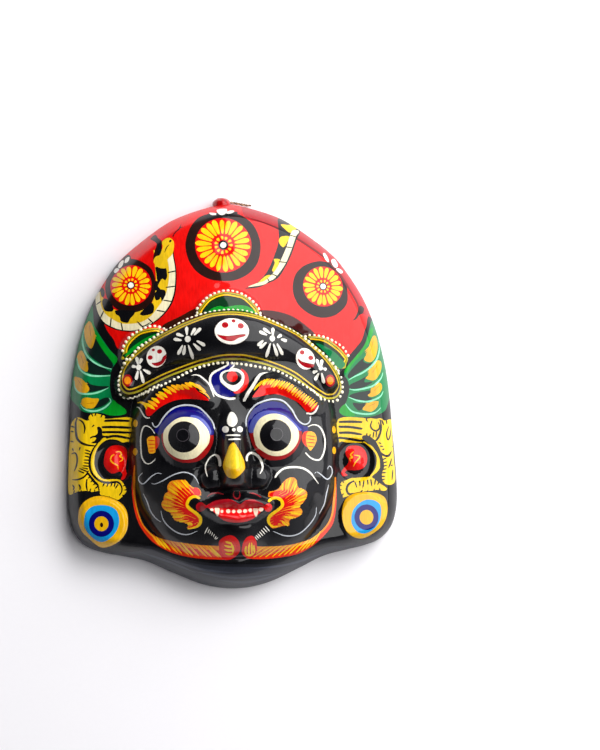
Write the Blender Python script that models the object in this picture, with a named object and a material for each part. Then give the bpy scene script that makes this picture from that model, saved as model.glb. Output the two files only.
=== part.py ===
# Papier-mache deity mask, lying face up on its rim, with its hanging loop of twine.
# Metres. +Z comes out of the face, +Y points to the crown, +X to the viewer's right.
# The rim lies on Z = 0 and the origin is under the middle of the mask.
import math

import bmesh
import bpy
import numpy as np
from mathutils import Matrix, Vector
from mathutils.geometry import delaunay_2d_cdt

# Driving sizes of the moulded shell
MASK_WIDTH = 0.212          # ear panel to ear panel
MASK_LENGTH = 0.2478        # chin rim to crown rim, without the lump at the apex
MASK_DEPTH = 0.078          # rim plane to the tip of the nose
WALL = 0.0032               # thickness of the dried pulp
SIDE_SHOULDER = 0.0115      # how far in from the rim the rounded edge ends
CHIN_SHOULDER = 0.0200      # the same below the jaw, where the edge is rounder

# Lump of painted pulp at the apex that holds the twine
LUG_RADII = (0.0062, 0.0043, 0.0078)
LUG_STANDOUT = 0.0036       # how far it stands out past the crown rim
LUG_OFFSET = -0.0036        # the maker set it a little left of the middle
LUG_CLEAR_OF_FLOOR = 0.0004

# Loop of twine
TWINE_DIAMETER = 0.0011

# Mesh fineness: steps along the rim, and distances between points in sheet units
RIM_POINT_COUNT = 108
LINE_SPACING = 3.5
FACE_SPACING = 3.7
CROWN_SPACING = 4.1
PLAIN_SPACING = 7.2
INSIDE_SPACING = 6.6
SHOULDER_ANGLES = (14, 30, 46, 62, 77)
INSIDE_ANGLES = (20, 42, 66)
RING_GAP = 0.45             # of the spacing that points keep from the last ring of the edge

# The relief is drawn on a sheet of these units and stretched to the driving sizes
SHEET_WIDTH = 212.0
SHEET_LENGTH = 247.8
SHEET_DEPTH = 78.0
SHEET_CROWN = 122.2         # crown rim, above the sheet's middle line
SHEET_CHIN = SHEET_CROWN - SHEET_LENGTH

# Right half of the rim, from the apex to the chin
RIM_HALF = [
    (0.0, 122.2), (14.0, 119.5), (30.0, 114.3), (41.0, 108.7), (54.6, 99.0), (66.5, 89.3),
    (74.9, 79.7), (86.9, 60.3), (94.6, 40.9), (99.5, 21.5), (102.4, 2.1), (104.2, -26.9),
    (105.4, -46.3), (106.0, -65.7), (105.0, -78.0), (101.5, -88.5), (94.0, -96.3),
    (84.0, -100.2), (72.0, -102.8), (57.0, -106.4), (40.0, -114.2), (20.0, -122.6), (0.0, -125.6),
]

# Crown: the dome, and the padded band that crosses the forehead
DOME_CENTRE = (0.0, 15.0)
DOME_RADII = (108.0, 118.0)
DOME_FOOT = 12.0
DOME_RISE = 36.0
BAND_MIDDLE = (-3.0, 34.0)
BAND_RADIUS = 82.0          # of the arc that the middle of the band follows
BAND_REACH = 62.0           # half span of that arc
BAND_HALF_WIDTH = (16.5, 9.5)   # at the middle, at the ends
BAND_FOOT = (48.0, 31.0)
BAND_RISE = (16.0, 12.0)
CRESTS = [                  # centre, radii, turn in degrees
    ((-2.0, 46.5), (23.0, 18.0), 0.0),
    ((-55.0, 26.5), (18.5, 15.5), 32.0),
    ((57.0, 19.5), (19.0, 14.5), -36.0),
]
CREST_RISE = 3.2
CREST_EDGE = 0.22           # share of the radius over which the edge rounds off

# Side panels behind the face, with ears and earrings
PANEL_FOOT = 10.0
PANEL_RISE = 24.0
PANEL_RADIUS = 122.0
EARS = [(-76.6, -43.5), (76.9, -46.0)]
EAR_HOLLOW_RADII = (13.0, 15.0)
EAR_HOLLOW_DEPTH = 3.0
EAR_LOBE_RADII = (7.5, 8.5)
EAR_LOBE_RISE = 5.0
EARRINGS = [(-84.6, -81.2), (81.4, -81.8)]
EARRING_RADIUS = 16.6
EARRING_RISE = 2.2
EARRING_EDGE = 0.15

# Face: a steep-sided oval with its features modelled on it
FACE_CENTRE = (0.0, -36.0)
FACE_RADII = (66.0, 70.0, 78.0)   # across, down to the jaw, up under the band
FACE_SQUARENESS = 2.6
FACE_FOOT = 26.0
FACE_RISE = 31.0
EYES = [(-30.4, -30.2), (24.9, -30.4)]
EYE_RADII = (18.6, 18.6)
EYE_RISE = 9.5
BROWS = [
    [(-17.0, -5.0), (-25.0, 3.0), (-36.0, 5.0), (-48.0, 0.0), (-57.0, -9.0)],
    [(11.0, -5.0), (18.0, 2.0), (28.0, 4.0), (41.0, -2.0), (50.0, -11.0)],
]
BROW_HALF_WIDTH = 8.0
BROW_RISE = 3.4
NOSE_LINE = -1.5            # the nose stands a touch left of the middle
NOSE_TOP = -8.0
NOSE_TIP = -50.0
NOSE_BASE = -62.5
NOSE_HALF_WIDTH = (7.0, 13.0)
NOSE_RISE = SHEET_DEPTH - FACE_FOOT - FACE_RISE + 0.8   # the face is already lower at the tip
NOSTRILS = [(-15.0, -54.5), (12.5, -54.0)]
NOSTRIL_RADIUS = 9.0
NOSTRIL_RISE = 8.0
CHEEKS = [(-34.0, -66.0), (32.0, -66.0)]
CHEEK_RADII = (23.0, 24.0)
CHEEK_RISE = 5.5
MUZZLE = (-0.5, -73.0)
MUZZLE_RADII = (34.0, 20.0)
MUZZLE_RISE = 5.0
UPPER_LIP = [(-19.5, -72.8), (-12.0, -70.0), (-4.5, -68.6), (0.0, -70.4), (4.5, -68.6), (12.0, -70.0),
             (18.5, -72.8)]
LOWER_LIP = [(-18.0, -74.5), (-10.0, -79.0), (0.0, -80.4), (10.0, -79.0), (17.0, -74.5)]
LIP_HALF_WIDTH = 4.6
LIP_RISE = 4.6
CHIN = (0.5, -92.0)
CHIN_RADII = (21.0, 13.0)
CHIN_RISE = 6.0
BLEND = 4.0                 # how softly one form runs into the next
BAND_BLEND = 2.5

# Where the rounder edge below the jaw begins, and how far it reaches to each side
JAW_EDGE = (-92.0, 14.0)    # start, and length of the change
JAW_REACH = (50.0, 24.0)


def smooth_step(share):
    share = np.clip(share, 0.0, 1.0)
    return share * share * (3.0 - 2.0 * share)


def smooth_max(first, second, blend=BLEND):
    overlap = np.maximum(blend - np.abs(first - second), 0.0) / blend
    return np.maximum(first, second) + overlap * overlap * blend / 4.0


def oval(x, y, centre, radii, turn=0.0):
    """Squared distance from the centre, 1 on the edge of the oval."""
    c, s = math.cos(math.radians(turn)), math.sin(math.radians(turn))
    across, along = x - centre[0], y - centre[1]
    return ((across * c + along * s) / radii[0]) ** 2 + ((along * c - across * s) / radii[1]) ** 2


def swelling(x, y, centre, radii):
    """A soft swelling, 1 at its middle and 0 from the edge of the oval on."""
    return (1.0 - np.minimum(oval(x, y, centre, radii), 1.0)) ** 2


def cap(x, y, centre, radii):
    """A ball-like cap that meets its ground in a crease."""
    return 1.0 - np.minimum(oval(x, y, centre, radii), 1.0)


def distance_to_line(x, y, points):
    """Distance to a line of straight stretches."""
    nearest = np.full(np.shape(x), np.inf)
    for (ax, ay), (bx, by) in zip(points[:-1], points[1:]):
        dx, dy = bx - ax, by - ay
        share = np.clip(((x - ax) * dx + (y - ay) * dy) / (dx * dx + dy * dy), 0.0, 1.0)
        nearest = np.minimum(nearest, np.hypot(x - ax - share * dx, y - ay - share * dy))
    return nearest


def ridge(x, y, points, half_width):
    share = np.minimum(distance_to_line(x, y, points) / half_width, 1.0)
    return (1.0 - share ** 2) ** 2


def ground(x, y):
    """The dome of the head above, running down into the flatter side panels with their ear hollows."""
    dome = DOME_FOOT + DOME_RISE * np.sqrt(np.maximum(1.0 - oval(x, y, DOME_CENTRE, DOME_RADII), 0.0))
    panel = PANEL_FOOT + PANEL_RISE * np.sqrt(np.maximum(1.0 - (x / PANEL_RADIUS) ** 2, 0.0))
    height = panel + (dome - panel) * smooth_step((y - 5.0) / 55.0)
    for ear in EARS:
        height = height - EAR_HOLLOW_DEPTH * smooth_step(2.0 * cap(x, y, ear, EAR_HOLLOW_RADII))
    return height


def ground_carving(x, y):
    """Crests behind the band, ear lobes and earrings."""
    height = np.zeros(np.shape(x))
    for centre, radii, turn in CRESTS:
        edge = 1.0 - np.sqrt(oval(x, y, centre, radii, turn))
        height = height + CREST_RISE * smooth_step(edge / CREST_EDGE)
    for ear in EARS:
        height = height + EAR_LOBE_RISE * cap(x, y, ear, EAR_LOBE_RADII)
    for earring in EARRINGS:
        edge = 1.0 - np.hypot(x - earring[0], y - earring[1]) / EARRING_RADIUS
        height = height + EARRING_RISE * smooth_step(edge / EARRING_EDGE)
    return height


def nose(x, y):
    """A wedge that rises to 1 at the tip and drops steeply under it."""
    down = np.clip((NOSE_TOP - y) / (NOSE_TOP - NOSE_TIP), 0.0, 1.0)
    under = np.clip((NOSE_TIP - y) / (NOSE_TIP - NOSE_BASE), 0.0, 1.0)
    half_width = NOSE_HALF_WIDTH[0] + (NOSE_HALF_WIDTH[1] - NOSE_HALF_WIDTH[0]) * down
    across = np.minimum(np.abs(x - NOSE_LINE) / half_width, 1.0)
    return down ** 1.3 * np.sqrt(1.0 - under ** 2) * (1.0 - across ** 2) ** 1.2


def face_edge(x, y):
    """0 in the middle of the face and 1 on its foot line."""
    along = np.abs(y - FACE_CENTRE[1]) / np.where(y < FACE_CENTRE[1], FACE_RADII[1], FACE_RADII[2])
    across = np.abs(x - FACE_CENTRE[0]) / FACE_RADII[0]
    return across ** FACE_SQUARENESS + along ** FACE_SQUARENESS


def fullness(x, y):
    """Full cheeks, mouth and chin, as the face is moulded before its features go on."""
    forms = CHEEK_RISE * (swelling(x, y, CHEEKS[0], CHEEK_RADII) + swelling(x, y, CHEEKS[1], CHEEK_RADII))
    forms = forms + MUZZLE_RISE * swelling(x, y, MUZZLE, MUZZLE_RADII)
    return forms + CHIN_RISE * swelling(x, y, CHIN, CHIN_RADII)


def features(x, y):
    """Brows, eyes, nose and lips."""
    brows = np.maximum(ridge(x, y, BROWS[0], BROW_HALF_WIDTH), ridge(x, y, BROWS[1], BROW_HALF_WIDTH))
    lips = np.maximum(ridge(x, y, UPPER_LIP, LIP_HALF_WIDTH), ridge(x, y, LOWER_LIP, LIP_HALF_WIDTH))
    forms = BROW_RISE * brows + LIP_RISE * lips
    for eye in EYES:
        forms = forms + EYE_RISE * cap(x, y, eye, EYE_RADII)
    wings = np.zeros(np.shape(x))
    for nostril in NOSTRILS:
        wings = wings + NOSTRIL_RISE * cap(x, y, nostril, (NOSTRIL_RADIUS, NOSTRIL_RADIUS)) ** 0.8
    return forms + smooth_max(wings, NOSE_RISE * nose(x, y), 2.0)


def soft_features(x, y):
    """What of the eyes and the nose shows as hollows from behind."""
    forms = NOSE_RISE * nose(x, y) ** 1.8
    for eye in EYES:
        forms = forms + EYE_RISE * swelling(x, y, eye, EYE_RADII)
    return forms


def face(x, y, forms):
    inside = np.sqrt(np.maximum(1.0 - face_edge(x, y), 0.0))
    return FACE_FOOT + FACE_RISE * inside + forms * smooth_step(2.0 * inside)


def band(x, y, fullest):
    """The padded roll across the forehead: a half round that narrows towards its ends."""
    reach = math.asin(BAND_REACH / BAND_RADIUS)
    centre_y = BAND_MIDDLE[1] - BAND_RADIUS
    angle = np.clip(np.arctan2(x - BAND_MIDDLE[0], y - centre_y), -reach, reach)
    off = np.hypot(x - BAND_MIDDLE[0] - BAND_RADIUS * np.sin(angle), y - centre_y - BAND_RADIUS * np.cos(angle))
    share = smooth_step(np.abs(angle) / reach)
    half_width = BAND_HALF_WIDTH[0] + (BAND_HALF_WIDTH[1] - BAND_HALF_WIDTH[0]) * share
    foot = BAND_FOOT[0] + (BAND_FOOT[1] - BAND_FOOT[0]) * share
    rise = BAND_RISE[0] + (BAND_RISE[1] - BAND_RISE[0]) * share
    inside = np.maximum(1.0 - (off / half_width) ** 2, 0.0)
    return np.where(inside > 0.0, foot + rise * inside ** fullest, 0.0)


def relief(x, y):
    """Height of the carved outer face over the rim plane, in sheet units."""
    height = ground(x, y) + ground_carving(x, y)
    height = smooth_max(height, face(x, y, fullness(x, y) + features(x, y)))
    return smooth_max(height, band(x, y, 0.5), BAND_BLEND)


def core(x, y):
    """The plainer form under the carving, which the hollow inside follows. It is nowhere higher."""
    height = smooth_max(ground(x, y), face(x, y, fullness(x, y) + soft_features(x, y)))
    return smooth_max(height, band(x, y, 1.0), BAND_BLEND)


# The crown rim is placed so that the mask with its lump is centred on the origin
STRETCH_X = MASK_WIDTH / SHEET_WIDTH
STRETCH_Y = MASK_LENGTH / SHEET_LENGTH
STRETCH_Z = MASK_DEPTH / SHEET_DEPTH
SHIFT_Y = -(SHEET_CROWN + SHEET_CHIN) * STRETCH_Y / 2.0 - LUG_STANDOUT / 2.0


def to_sheet(points):
    return points[:, 0] / STRETCH_X, (points[:, 1] - SHIFT_Y) / STRETCH_Y


def from_sheet(points):
    return points * (STRETCH_X, STRETCH_Y) + (0.0, SHIFT_Y)


def rim_line(count):
    """The rim as a closed, evenly spaced, counter-clockwise loop in metres."""
    half = np.array(RIM_HALF)
    loop = np.vstack([half[::-1], half[1:-1] * (-1.0, 1.0)])
    loop = from_sheet(loop)
    before, after = np.roll(loop, 1, axis=0), np.roll(loop, -1, axis=0)
    after_next = np.roll(loop, -2, axis=0)
    fine = []
    for start, first, second, end in zip(before, loop, after, after_next):
        for t in np.linspace(0.0, 1.0, 24, endpoint=False):
            fine.append(0.5 * (2.0 * first + (second - start) * t
                               + (2.0 * start - 5.0 * first + 4.0 * second - end) * t ** 2
                               + (3.0 * first - start - 3.0 * second + end) * t ** 3))
    fine = np.array(fine + [fine[0]])
    length = np.concatenate([[0.0], np.cumsum(np.hypot(*np.diff(fine, axis=0).T))])
    steps = np.linspace(0.0, length[-1], count, endpoint=False)
    return np.column_stack([np.interp(steps, length, fine[:, 0]), np.interp(steps, length, fine[:, 1])])


RIM = rim_line(480)


def distance_to_rim(points):
    """Distance inwards from the rim; 0 outside it."""
    nearest = np.full(len(points), np.inf)
    inside = np.zeros(len(points), dtype=bool)
    for first, second in zip(RIM, np.roll(RIM, -1, axis=0)):
        edge = second - first
        share = np.clip(((points - first) @ edge) / (edge @ edge), 0.0, 1.0)
        nearest = np.minimum(nearest, np.hypot(*(points - first - share[:, None] * edge).T))
        crosses = (first[1] > points[:, 1]) != (second[1] > points[:, 1])
        if first[1] != second[1]:
            at = first[0] + (points[:, 1] - first[1]) * edge[0] / edge[1]
            inside ^= crosses & (points[:, 0] < at)
    return np.where(inside, nearest, 0.0)


def shoulder_width(points):
    """The rounded edge is wider below the jaw than along the sides and the crown."""
    x, y = to_sheet(points)
    down = smooth_step((JAW_EDGE[0] - y) / JAW_EDGE[1])
    share = down * smooth_step((JAW_REACH[0] + JAW_REACH[1] - np.abs(x)) / JAW_REACH[1])
    return SIDE_SHOULDER + (CHIN_SHOULDER - SIDE_SHOULDER) * share


def height_of(form, points):
    """Height of a form in metres, with the rounded edge that brings it down to the rim."""
    share = np.clip(distance_to_rim(points) / shoulder_width(points), 0.0, 1.0)
    return STRETCH_Z * form(*to_sheet(points)) * np.sqrt(1.0 - (1.0 - share) ** 2)


def inner_height(points, outward):
    """Lowest reach of a ball of the wall's thickness that rolls under the core."""
    base = np.arctan2(outward[:, 1], outward[:, 0])
    lowest = height_of(core, points) - WALL
    for ring in (0.35, 0.6, 0.8, 0.93, 0.999):
        for turn in range(0, 360, 30):
            angle = base + math.radians(turn)
            reach = ring * WALL
            moved = points + reach * np.column_stack([np.cos(angle), np.sin(angle)])
            lowest = np.minimum(lowest, height_of(core, moved) - math.sqrt(WALL ** 2 - reach ** 2))
    return lowest


def outward_normals(loop):
    along = np.roll(loop, -1, axis=0) - np.roll(loop, 1, axis=0)
    normal = np.column_stack([along[:, 1], -along[:, 0]])
    return normal / np.hypot(*normal.T)[:, None]


def honeycomb(spacing):
    """Points of an even triangular pattern that covers the sheet."""
    rows = np.arange(SHEET_CHIN, SHEET_CROWN, spacing * math.sqrt(0.75))
    columns = np.arange(-0.5 * SHEET_WIDTH, 0.5 * SHEET_WIDTH, spacing)
    shift = 0.5 * spacing * (np.arange(len(rows)) % 2)
    return np.array([(x + s, y) for y, s in zip(rows, shift) for x in columns])


def face_line(share):
    """The foot line of the face, or a line inside it."""
    turn = np.linspace(0.0, 2.0 * math.pi, 241)
    across = np.sign(np.cos(turn)) * np.abs(np.cos(turn)) ** (2.0 / FACE_SQUARENESS)
    along = np.sign(np.sin(turn)) * np.abs(np.sin(turn)) ** (2.0 / FACE_SQUARENESS)
    along = along * np.where(along < 0.0, FACE_RADII[1], FACE_RADII[2])
    return np.column_stack([across * FACE_RADII[0], along]) * share + FACE_CENTRE


def oval_line(centre, radii, turn=0.0, share=1.0):
    c, s = math.cos(math.radians(turn)), math.sin(math.radians(turn))
    around = np.linspace(0.0, 2.0 * math.pi, 121)
    across, along = share * radii[0] * np.cos(around), share * radii[1] * np.sin(around)
    return np.column_stack([across * c - along * s, across * s + along * c]) + centre


def band_line(share):
    """Both edges of the band and its round ends, at a share of its half width."""
    reach = math.asin(BAND_REACH / BAND_RADIUS)
    centre = np.array([BAND_MIDDLE[0], BAND_MIDDLE[1] - BAND_RADIUS])
    angle = np.linspace(-reach, reach, 61)
    narrowing = smooth_step(np.abs(angle) / reach)
    half_width = share * (BAND_HALF_WIDTH[0] + (BAND_HALF_WIDTH[1] - BAND_HALF_WIDTH[0]) * narrowing)
    outward = np.column_stack([np.sin(angle), np.cos(angle)])
    upper = centre + outward * (BAND_RADIUS + half_width)[:, None]
    lower = centre + outward * (BAND_RADIUS - half_width)[:, None]
    ends = []
    for side in (1, -1):
        tip = centre + BAND_RADIUS * np.array([side * math.sin(reach), math.cos(reach)])
        around = side * (reach + np.linspace(0.0, math.pi, 19))
        ends.append(tip + half_width[-1] * np.column_stack([np.sin(around), np.cos(around)]))
    return np.vstack([upper, ends[0], lower[::-1], ends[1][::-1]])


def carving_lines():
    """Lines along the feet and crests of the carved forms."""
    lines = [band_line(share) for share in (1.0, 0.87, 0.55)]
    lines += [face_line(share) for share in (1.004, 0.965, 0.9)]
    lines += [oval_line(eye, EYE_RADII, share=share) for eye in EYES for share in (1.0, 0.8)]
    lines += [oval_line(nostril, (NOSTRIL_RADIUS, NOSTRIL_RADIUS)) for nostril in NOSTRILS]
    lines += [np.array(UPPER_LIP), np.array(LOWER_LIP), np.array(UPPER_LIP)[1:-1] - (0.0, LIP_HALF_WIDTH)]
    for base in (NOSE_TIP, 0.5 * (NOSE_TIP + NOSE_BASE), NOSE_BASE, NOSE_BASE - 2.0):
        lines.append(np.array([(NOSE_LINE + side * NOSE_HALF_WIDTH[1], base) for side in (-1, 1)]))
    lines.append(np.array([(NOSE_LINE, NOSE_TOP), (NOSE_LINE, NOSE_TIP)]))
    for centre, radii, turn in CRESTS:
        lines += [oval_line(centre, radii, turn, share) for share in (1.0, 1.0 - CREST_EDGE)]
    for earring in EARRINGS:
        lines += [oval_line(earring, (EARRING_RADIUS, EARRING_RADIUS), share=share) for share in (1.0, 0.85)]
    for ear in EARS:
        lines += [oval_line(ear, EAR_LOBE_RADII), oval_line(ear, EAR_HOLLOW_RADII)]
    return lines


def even(line, spacing):
    """Points at even steps along a line."""
    length = np.concatenate([[0.0], np.cumsum(np.hypot(*np.diff(line, axis=0).T))])
    steps = np.linspace(0.0, length[-1], max(round(length[-1] / spacing), 1) + 1)
    return np.column_stack([np.interp(steps, length, line[:, 0]), np.interp(steps, length, line[:, 1])])


def on_carved_ground(x, y):
    """Whether a point lies on the band, a crest, an ear or an earring."""
    near = band(x, y, 0.5) > 0.0
    for centre, radii, turn in CRESTS:
        near |= oval(x, y, centre, radii, turn) < 1.1
    for place in EARRINGS:
        near |= oval(x, y, place, (EARRING_RADIUS, EARRING_RADIUS)) < 1.1
    for place in EARS:
        near |= oval(x, y, place, EAR_HOLLOW_RADII) < 1.1
    return near


def keep_apart(points, gaps):
    """Leaves out each point that is nearer to an earlier one than its own gap."""
    kept = np.full((len(points), 2), np.inf)
    count = 0
    for point, gap in zip(points, gaps):
        if np.all(np.hypot(*(kept[:count] - point).T) > gap):
            kept[count] = point
            count += 1
    return kept[:count]


def carving_points():
    """Points along the lines of the carving first, then even ones between them."""
    lines = np.vstack([even(line, LINE_SPACING) for line in carving_lines()])
    fine, crown, plain = (honeycomb(spacing) for spacing in (FACE_SPACING, CROWN_SPACING, PLAIN_SPACING))
    on_face, on_crown = face_edge(*plain.T) < 1.0, on_carved_ground(*plain.T)
    sets = [lines, fine[face_edge(*fine.T) < 1.0],
            crown[on_carved_ground(*crown.T) & (face_edge(*crown.T) >= 1.0)], plain[~on_face & ~on_crown]]
    gaps = (0.5 * LINE_SPACING, 0.6 * FACE_SPACING, 0.6 * CROWN_SPACING, 0.6 * PLAIN_SPACING)
    return keep_apart(np.vstack(sets), np.repeat(gaps, [len(points) for points in sets]))


def hollow_points():
    lines = even(face_line(1.0), INSIDE_SPACING)
    between = honeycomb(INSIDE_SPACING)
    gaps = np.repeat(0.5 * INSIDE_SPACING, len(lines) + len(between))
    return keep_apart(np.vstack([lines, between]), gaps)


def fill(mesh, ring, ring_vertices, extra, height, upward):
    """Triangles over the area inside a ring, through extra points at their own heights."""
    flat = [Vector(point) for point in np.vstack([ring, extra])]
    loop = list(range(len(ring)))
    _, _, faces, *_ = delaunay_2d_cdt(flat, [], [loop], 1, 1e-9)
    placed = list(ring_vertices)
    for point, z in zip(extra, height):
        placed.append(mesh.verts.new((point[0], point[1], z)))
    for a, b, c in faces:
        turn = (flat[b] - flat[a]).cross(flat[c] - flat[a])
        corners = (a, b, c) if (turn > 0) == upward else (a, c, b)
        mesh.faces.new([placed[index] for index in corners])


def add_ring(mesh, plan, height):
    return [mesh.verts.new((x, y, z)) for (x, y), z in zip(plan, height)]


def bridge(mesh, lower, upper):
    """Triangles between two rings; the faces look to the right of the way round, seen from above."""
    for a, b in zip(range(len(lower)), list(range(1, len(lower))) + [0]):
        mesh.faces.new([lower[a], lower[b], upper[b]])
        mesh.faces.new([lower[a], upper[b], upper[a]])


def outer_face(mesh, rim):
    """The rounded edge ring by ring, then the relief inside it."""
    plan = rim_line(RIM_POINT_COUNT)
    normal = outward_normals(plan)
    width = shoulder_width(plan)
    last = rim
    for angle in SHOULDER_ANGLES:
        ring = plan - normal * (width * (1.0 - math.cos(math.radians(angle))))[:, None]
        placed = add_ring(mesh, ring, height_of(relief, ring))
        bridge(mesh, last, placed)
        last = placed
    points = from_sheet(carving_points())
    inset = shoulder_width(points) * (1.0 - math.cos(math.radians(SHOULDER_ANGLES[-1])))
    points = points[distance_to_rim(points) > inset + RING_GAP * LINE_SPACING * STRETCH_X]
    fill(mesh, ring, last, points, height_of(relief, points), True)


def inner_face(mesh, rim):
    """The hollow behind the face, one wall thickness inside the core."""
    plan = rim_line(RIM_POINT_COUNT)
    normal = outward_normals(plan)
    width = shoulder_width(plan) - WALL
    last = rim
    for angle in INSIDE_ANGLES:
        inset = WALL + width * (1.0 - math.cos(math.radians(angle)))
        ring = plan - normal * inset[:, None]
        placed = add_ring(mesh, ring, inner_height(ring, normal))
        bridge(mesh, placed, last)
        last = placed
    points = from_sheet(hollow_points())
    inset = WALL + (shoulder_width(points) - WALL) * (1.0 - math.cos(math.radians(INSIDE_ANGLES[-1])))
    points = points[distance_to_rim(points) > inset + RING_GAP * INSIDE_SPACING * STRETCH_X]
    heights = inner_height(points, np.tile((0.0, 1.0), (len(points), 1)))
    fill(mesh, ring, last, points, heights, False)


def material(name, colour, roughness):
    paint = bpy.data.materials.new(name)
    paint.use_nodes = True
    shader = paint.node_tree.nodes["Principled BSDF"]
    shader.inputs["Base Color"].default_value = (*colour, 1.0)
    shader.inputs["Roughness"].default_value = roughness
    shader.inputs["Metallic"].default_value = 0.0
    return paint


def add_object(name, data, paint):
    placed = bpy.data.objects.new(name, data)
    bpy.context.collection.objects.link(placed)
    placed.data.materials.append(paint)
    return placed


def lug_centre():
    crown_rim = SHEET_CROWN * STRETCH_Y + SHIFT_Y
    return Vector((LUG_OFFSET, crown_rim + LUG_STANDOUT - LUG_RADII[1], LUG_RADII[2] + LUG_CLEAR_OF_FLOOR))


def make_shell():
    mesh = bmesh.new()
    plan = rim_line(RIM_POINT_COUNT)
    outer_rim = add_ring(mesh, plan, np.zeros(RIM_POINT_COUNT))
    inner_rim = add_ring(mesh, plan - outward_normals(plan) * WALL, np.zeros(RIM_POINT_COUNT))
    bridge(mesh, inner_rim, outer_rim)
    outer_face(mesh, outer_rim)
    inner_face(mesh, inner_rim)
    data = bpy.data.meshes.new("mask_shell")
    mesh.to_mesh(data)
    mesh.free()
    shell = add_object("mask_shell", data, material("painted_papier_mache", (0.04, 0.035, 0.035), 0.25))

    lump = bmesh.new()
    bmesh.ops.create_uvsphere(lump, u_segments=16, v_segments=10, radius=1.0)
    lump.transform(Matrix.Translation(lug_centre()) @ Matrix.Diagonal((*LUG_RADII, 1.0)))
    lump_data = bpy.data.meshes.new("lug_cutter")
    lump.to_mesh(lump_data)
    lump.free()
    lug = add_object("lug_cutter", lump_data, shell.data.materials[0])
    lug.hide_render = True
    lug.display_type = "WIRE"
    joined = shell.modifiers.new("lug", "BOOLEAN")
    joined.operation = "UNION"
    joined.solver = "EXACT"
    joined.object = lug
    return shell


def twine_route():
    """Points chosen by hand, from one end of the loop to the other.

    They are measured from the right flank of the lump, the crown rim and the lowest place of the twine.
    """
    corner = Vector((LUG_OFFSET + LUG_RADII[0], SHEET_CROWN * STRETCH_Y + SHIFT_Y, TWINE_DIAMETER / 2.0))
    points = [
        (-0.00115, 0.0009, 0.0033), (0.0018, 0.0012, 0.0014), (0.0047, 0.0009, 0.0004),
        (0.0075, 0.0003, 0.0001), (0.0102, -0.0002, 0.0002), (0.0122, -0.0007, 0.0008),
        (0.0135, -0.0011, 0.0025), (0.0135, -0.0014, 0.0047), (0.0122, -0.0015, 0.0064),
        (0.0102, -0.0014, 0.0071), (0.0075, -0.0010, 0.0073), (0.0046, -0.0003, 0.0073),
        (0.0022, 0.0003, 0.0072), (0.0001, 0.0005, 0.0070),
    ]
    return [corner + Vector(point) for point in points]


def smooth_through(points, per_stretch):
    """Points of one smooth curve through the given ones."""
    ends = [2 * points[0] - points[1]] + points + [2 * points[-1] - points[-2]]
    smooth = []
    for start, first, second, end in zip(ends, ends[1:], ends[2:], ends[3:]):
        for step in range(per_stretch):
            t = step / per_stretch
            smooth.append(0.5 * (2 * first + (second - start) * t
                                 + (2 * start - 5 * first + 4 * second - end) * t ** 2
                                 + (3 * first - start - 3 * second + end) * t ** 3))
    return smooth + [points[-1]]


def make_twine():
    curve = bpy.data.curves.new("hanging_cord", "CURVE")
    curve.dimensions = "3D"
    curve.bevel_depth = TWINE_DIAMETER / 2.0
    curve.bevel_resolution = 2
    curve.use_fill_caps = True
    route = smooth_through(twine_route(), 2)
    spline = curve.splines.new("POLY")
    spline.points.add(len(route) - 1)
    for point, place in zip(spline.points, route):
        point.co = (*place, 1.0)
    return add_object("hanging_cord", curve, material("twine", (0.10, 0.06, 0.03), 0.9))


def main():
    for old in list(bpy.data.objects):
        bpy.data.objects.remove(old, do_unlink=True)
    make_shell()
    make_twine()


main()
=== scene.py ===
# Papier-mache deity mask: the painted and lacquered object that the plain solids stand for.
# Places on the mask are in millimetres on a sheet laid over it: x to the viewer's right, y to the crown.
import math
import random

import bpy
import numpy as np
from mathutils import Matrix, Vector
from mathutils.geometry import delaunay_2d_cdt


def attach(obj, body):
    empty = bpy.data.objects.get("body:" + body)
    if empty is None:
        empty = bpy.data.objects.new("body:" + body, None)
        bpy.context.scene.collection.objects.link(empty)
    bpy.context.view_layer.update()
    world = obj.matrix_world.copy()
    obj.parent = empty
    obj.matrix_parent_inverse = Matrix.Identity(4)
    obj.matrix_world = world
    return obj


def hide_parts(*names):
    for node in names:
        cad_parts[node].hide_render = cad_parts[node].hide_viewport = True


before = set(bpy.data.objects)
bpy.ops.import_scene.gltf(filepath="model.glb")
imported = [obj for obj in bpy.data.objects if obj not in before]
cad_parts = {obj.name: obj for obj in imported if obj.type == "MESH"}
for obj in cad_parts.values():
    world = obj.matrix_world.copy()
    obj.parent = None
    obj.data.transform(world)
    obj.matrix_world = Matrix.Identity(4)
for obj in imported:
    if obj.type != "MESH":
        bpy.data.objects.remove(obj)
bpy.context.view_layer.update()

sheetShift = -0.1           # the sheet's y = 0 lies this many millimetres below the origin

# Camera: it looks down on the mask from its lower left
camera = {
    "place": (-0.07666, -0.06316, 1.5),
    "aim": (0.01491, 0.01165, 0.0),
    "turn": 1.577,          # degrees that the picture's upright leans to the mask's right
    "sensor": 36.0,
    "lens": 111.74,
    "shift": (0.0633, -0.0007),
}


def link(placed):
    bpy.context.scene.collection.objects.link(placed)
    return placed


def makeCamera():
    data = bpy.data.cameras.new("camera")
    data.sensor_width, data.lens = camera["sensor"], camera["lens"]
    data.shift_x, data.shift_y = camera["shift"]
    forward = (Vector(camera["aim"]) - Vector(camera["place"])).normalized()
    turn = math.radians(camera["turn"])
    right = forward.cross(Vector((math.sin(turn), math.cos(turn), 0.0))).normalized()
    axes = Matrix((right, right.cross(forward), -forward)).transposed().to_4x4()
    placed = link(bpy.data.objects.new("camera", data))
    placed.matrix_world = Matrix.Translation(camera["place"]) @ axes
    bpy.context.scene.camera = placed


makeCamera()
print("camera placed")


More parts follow.
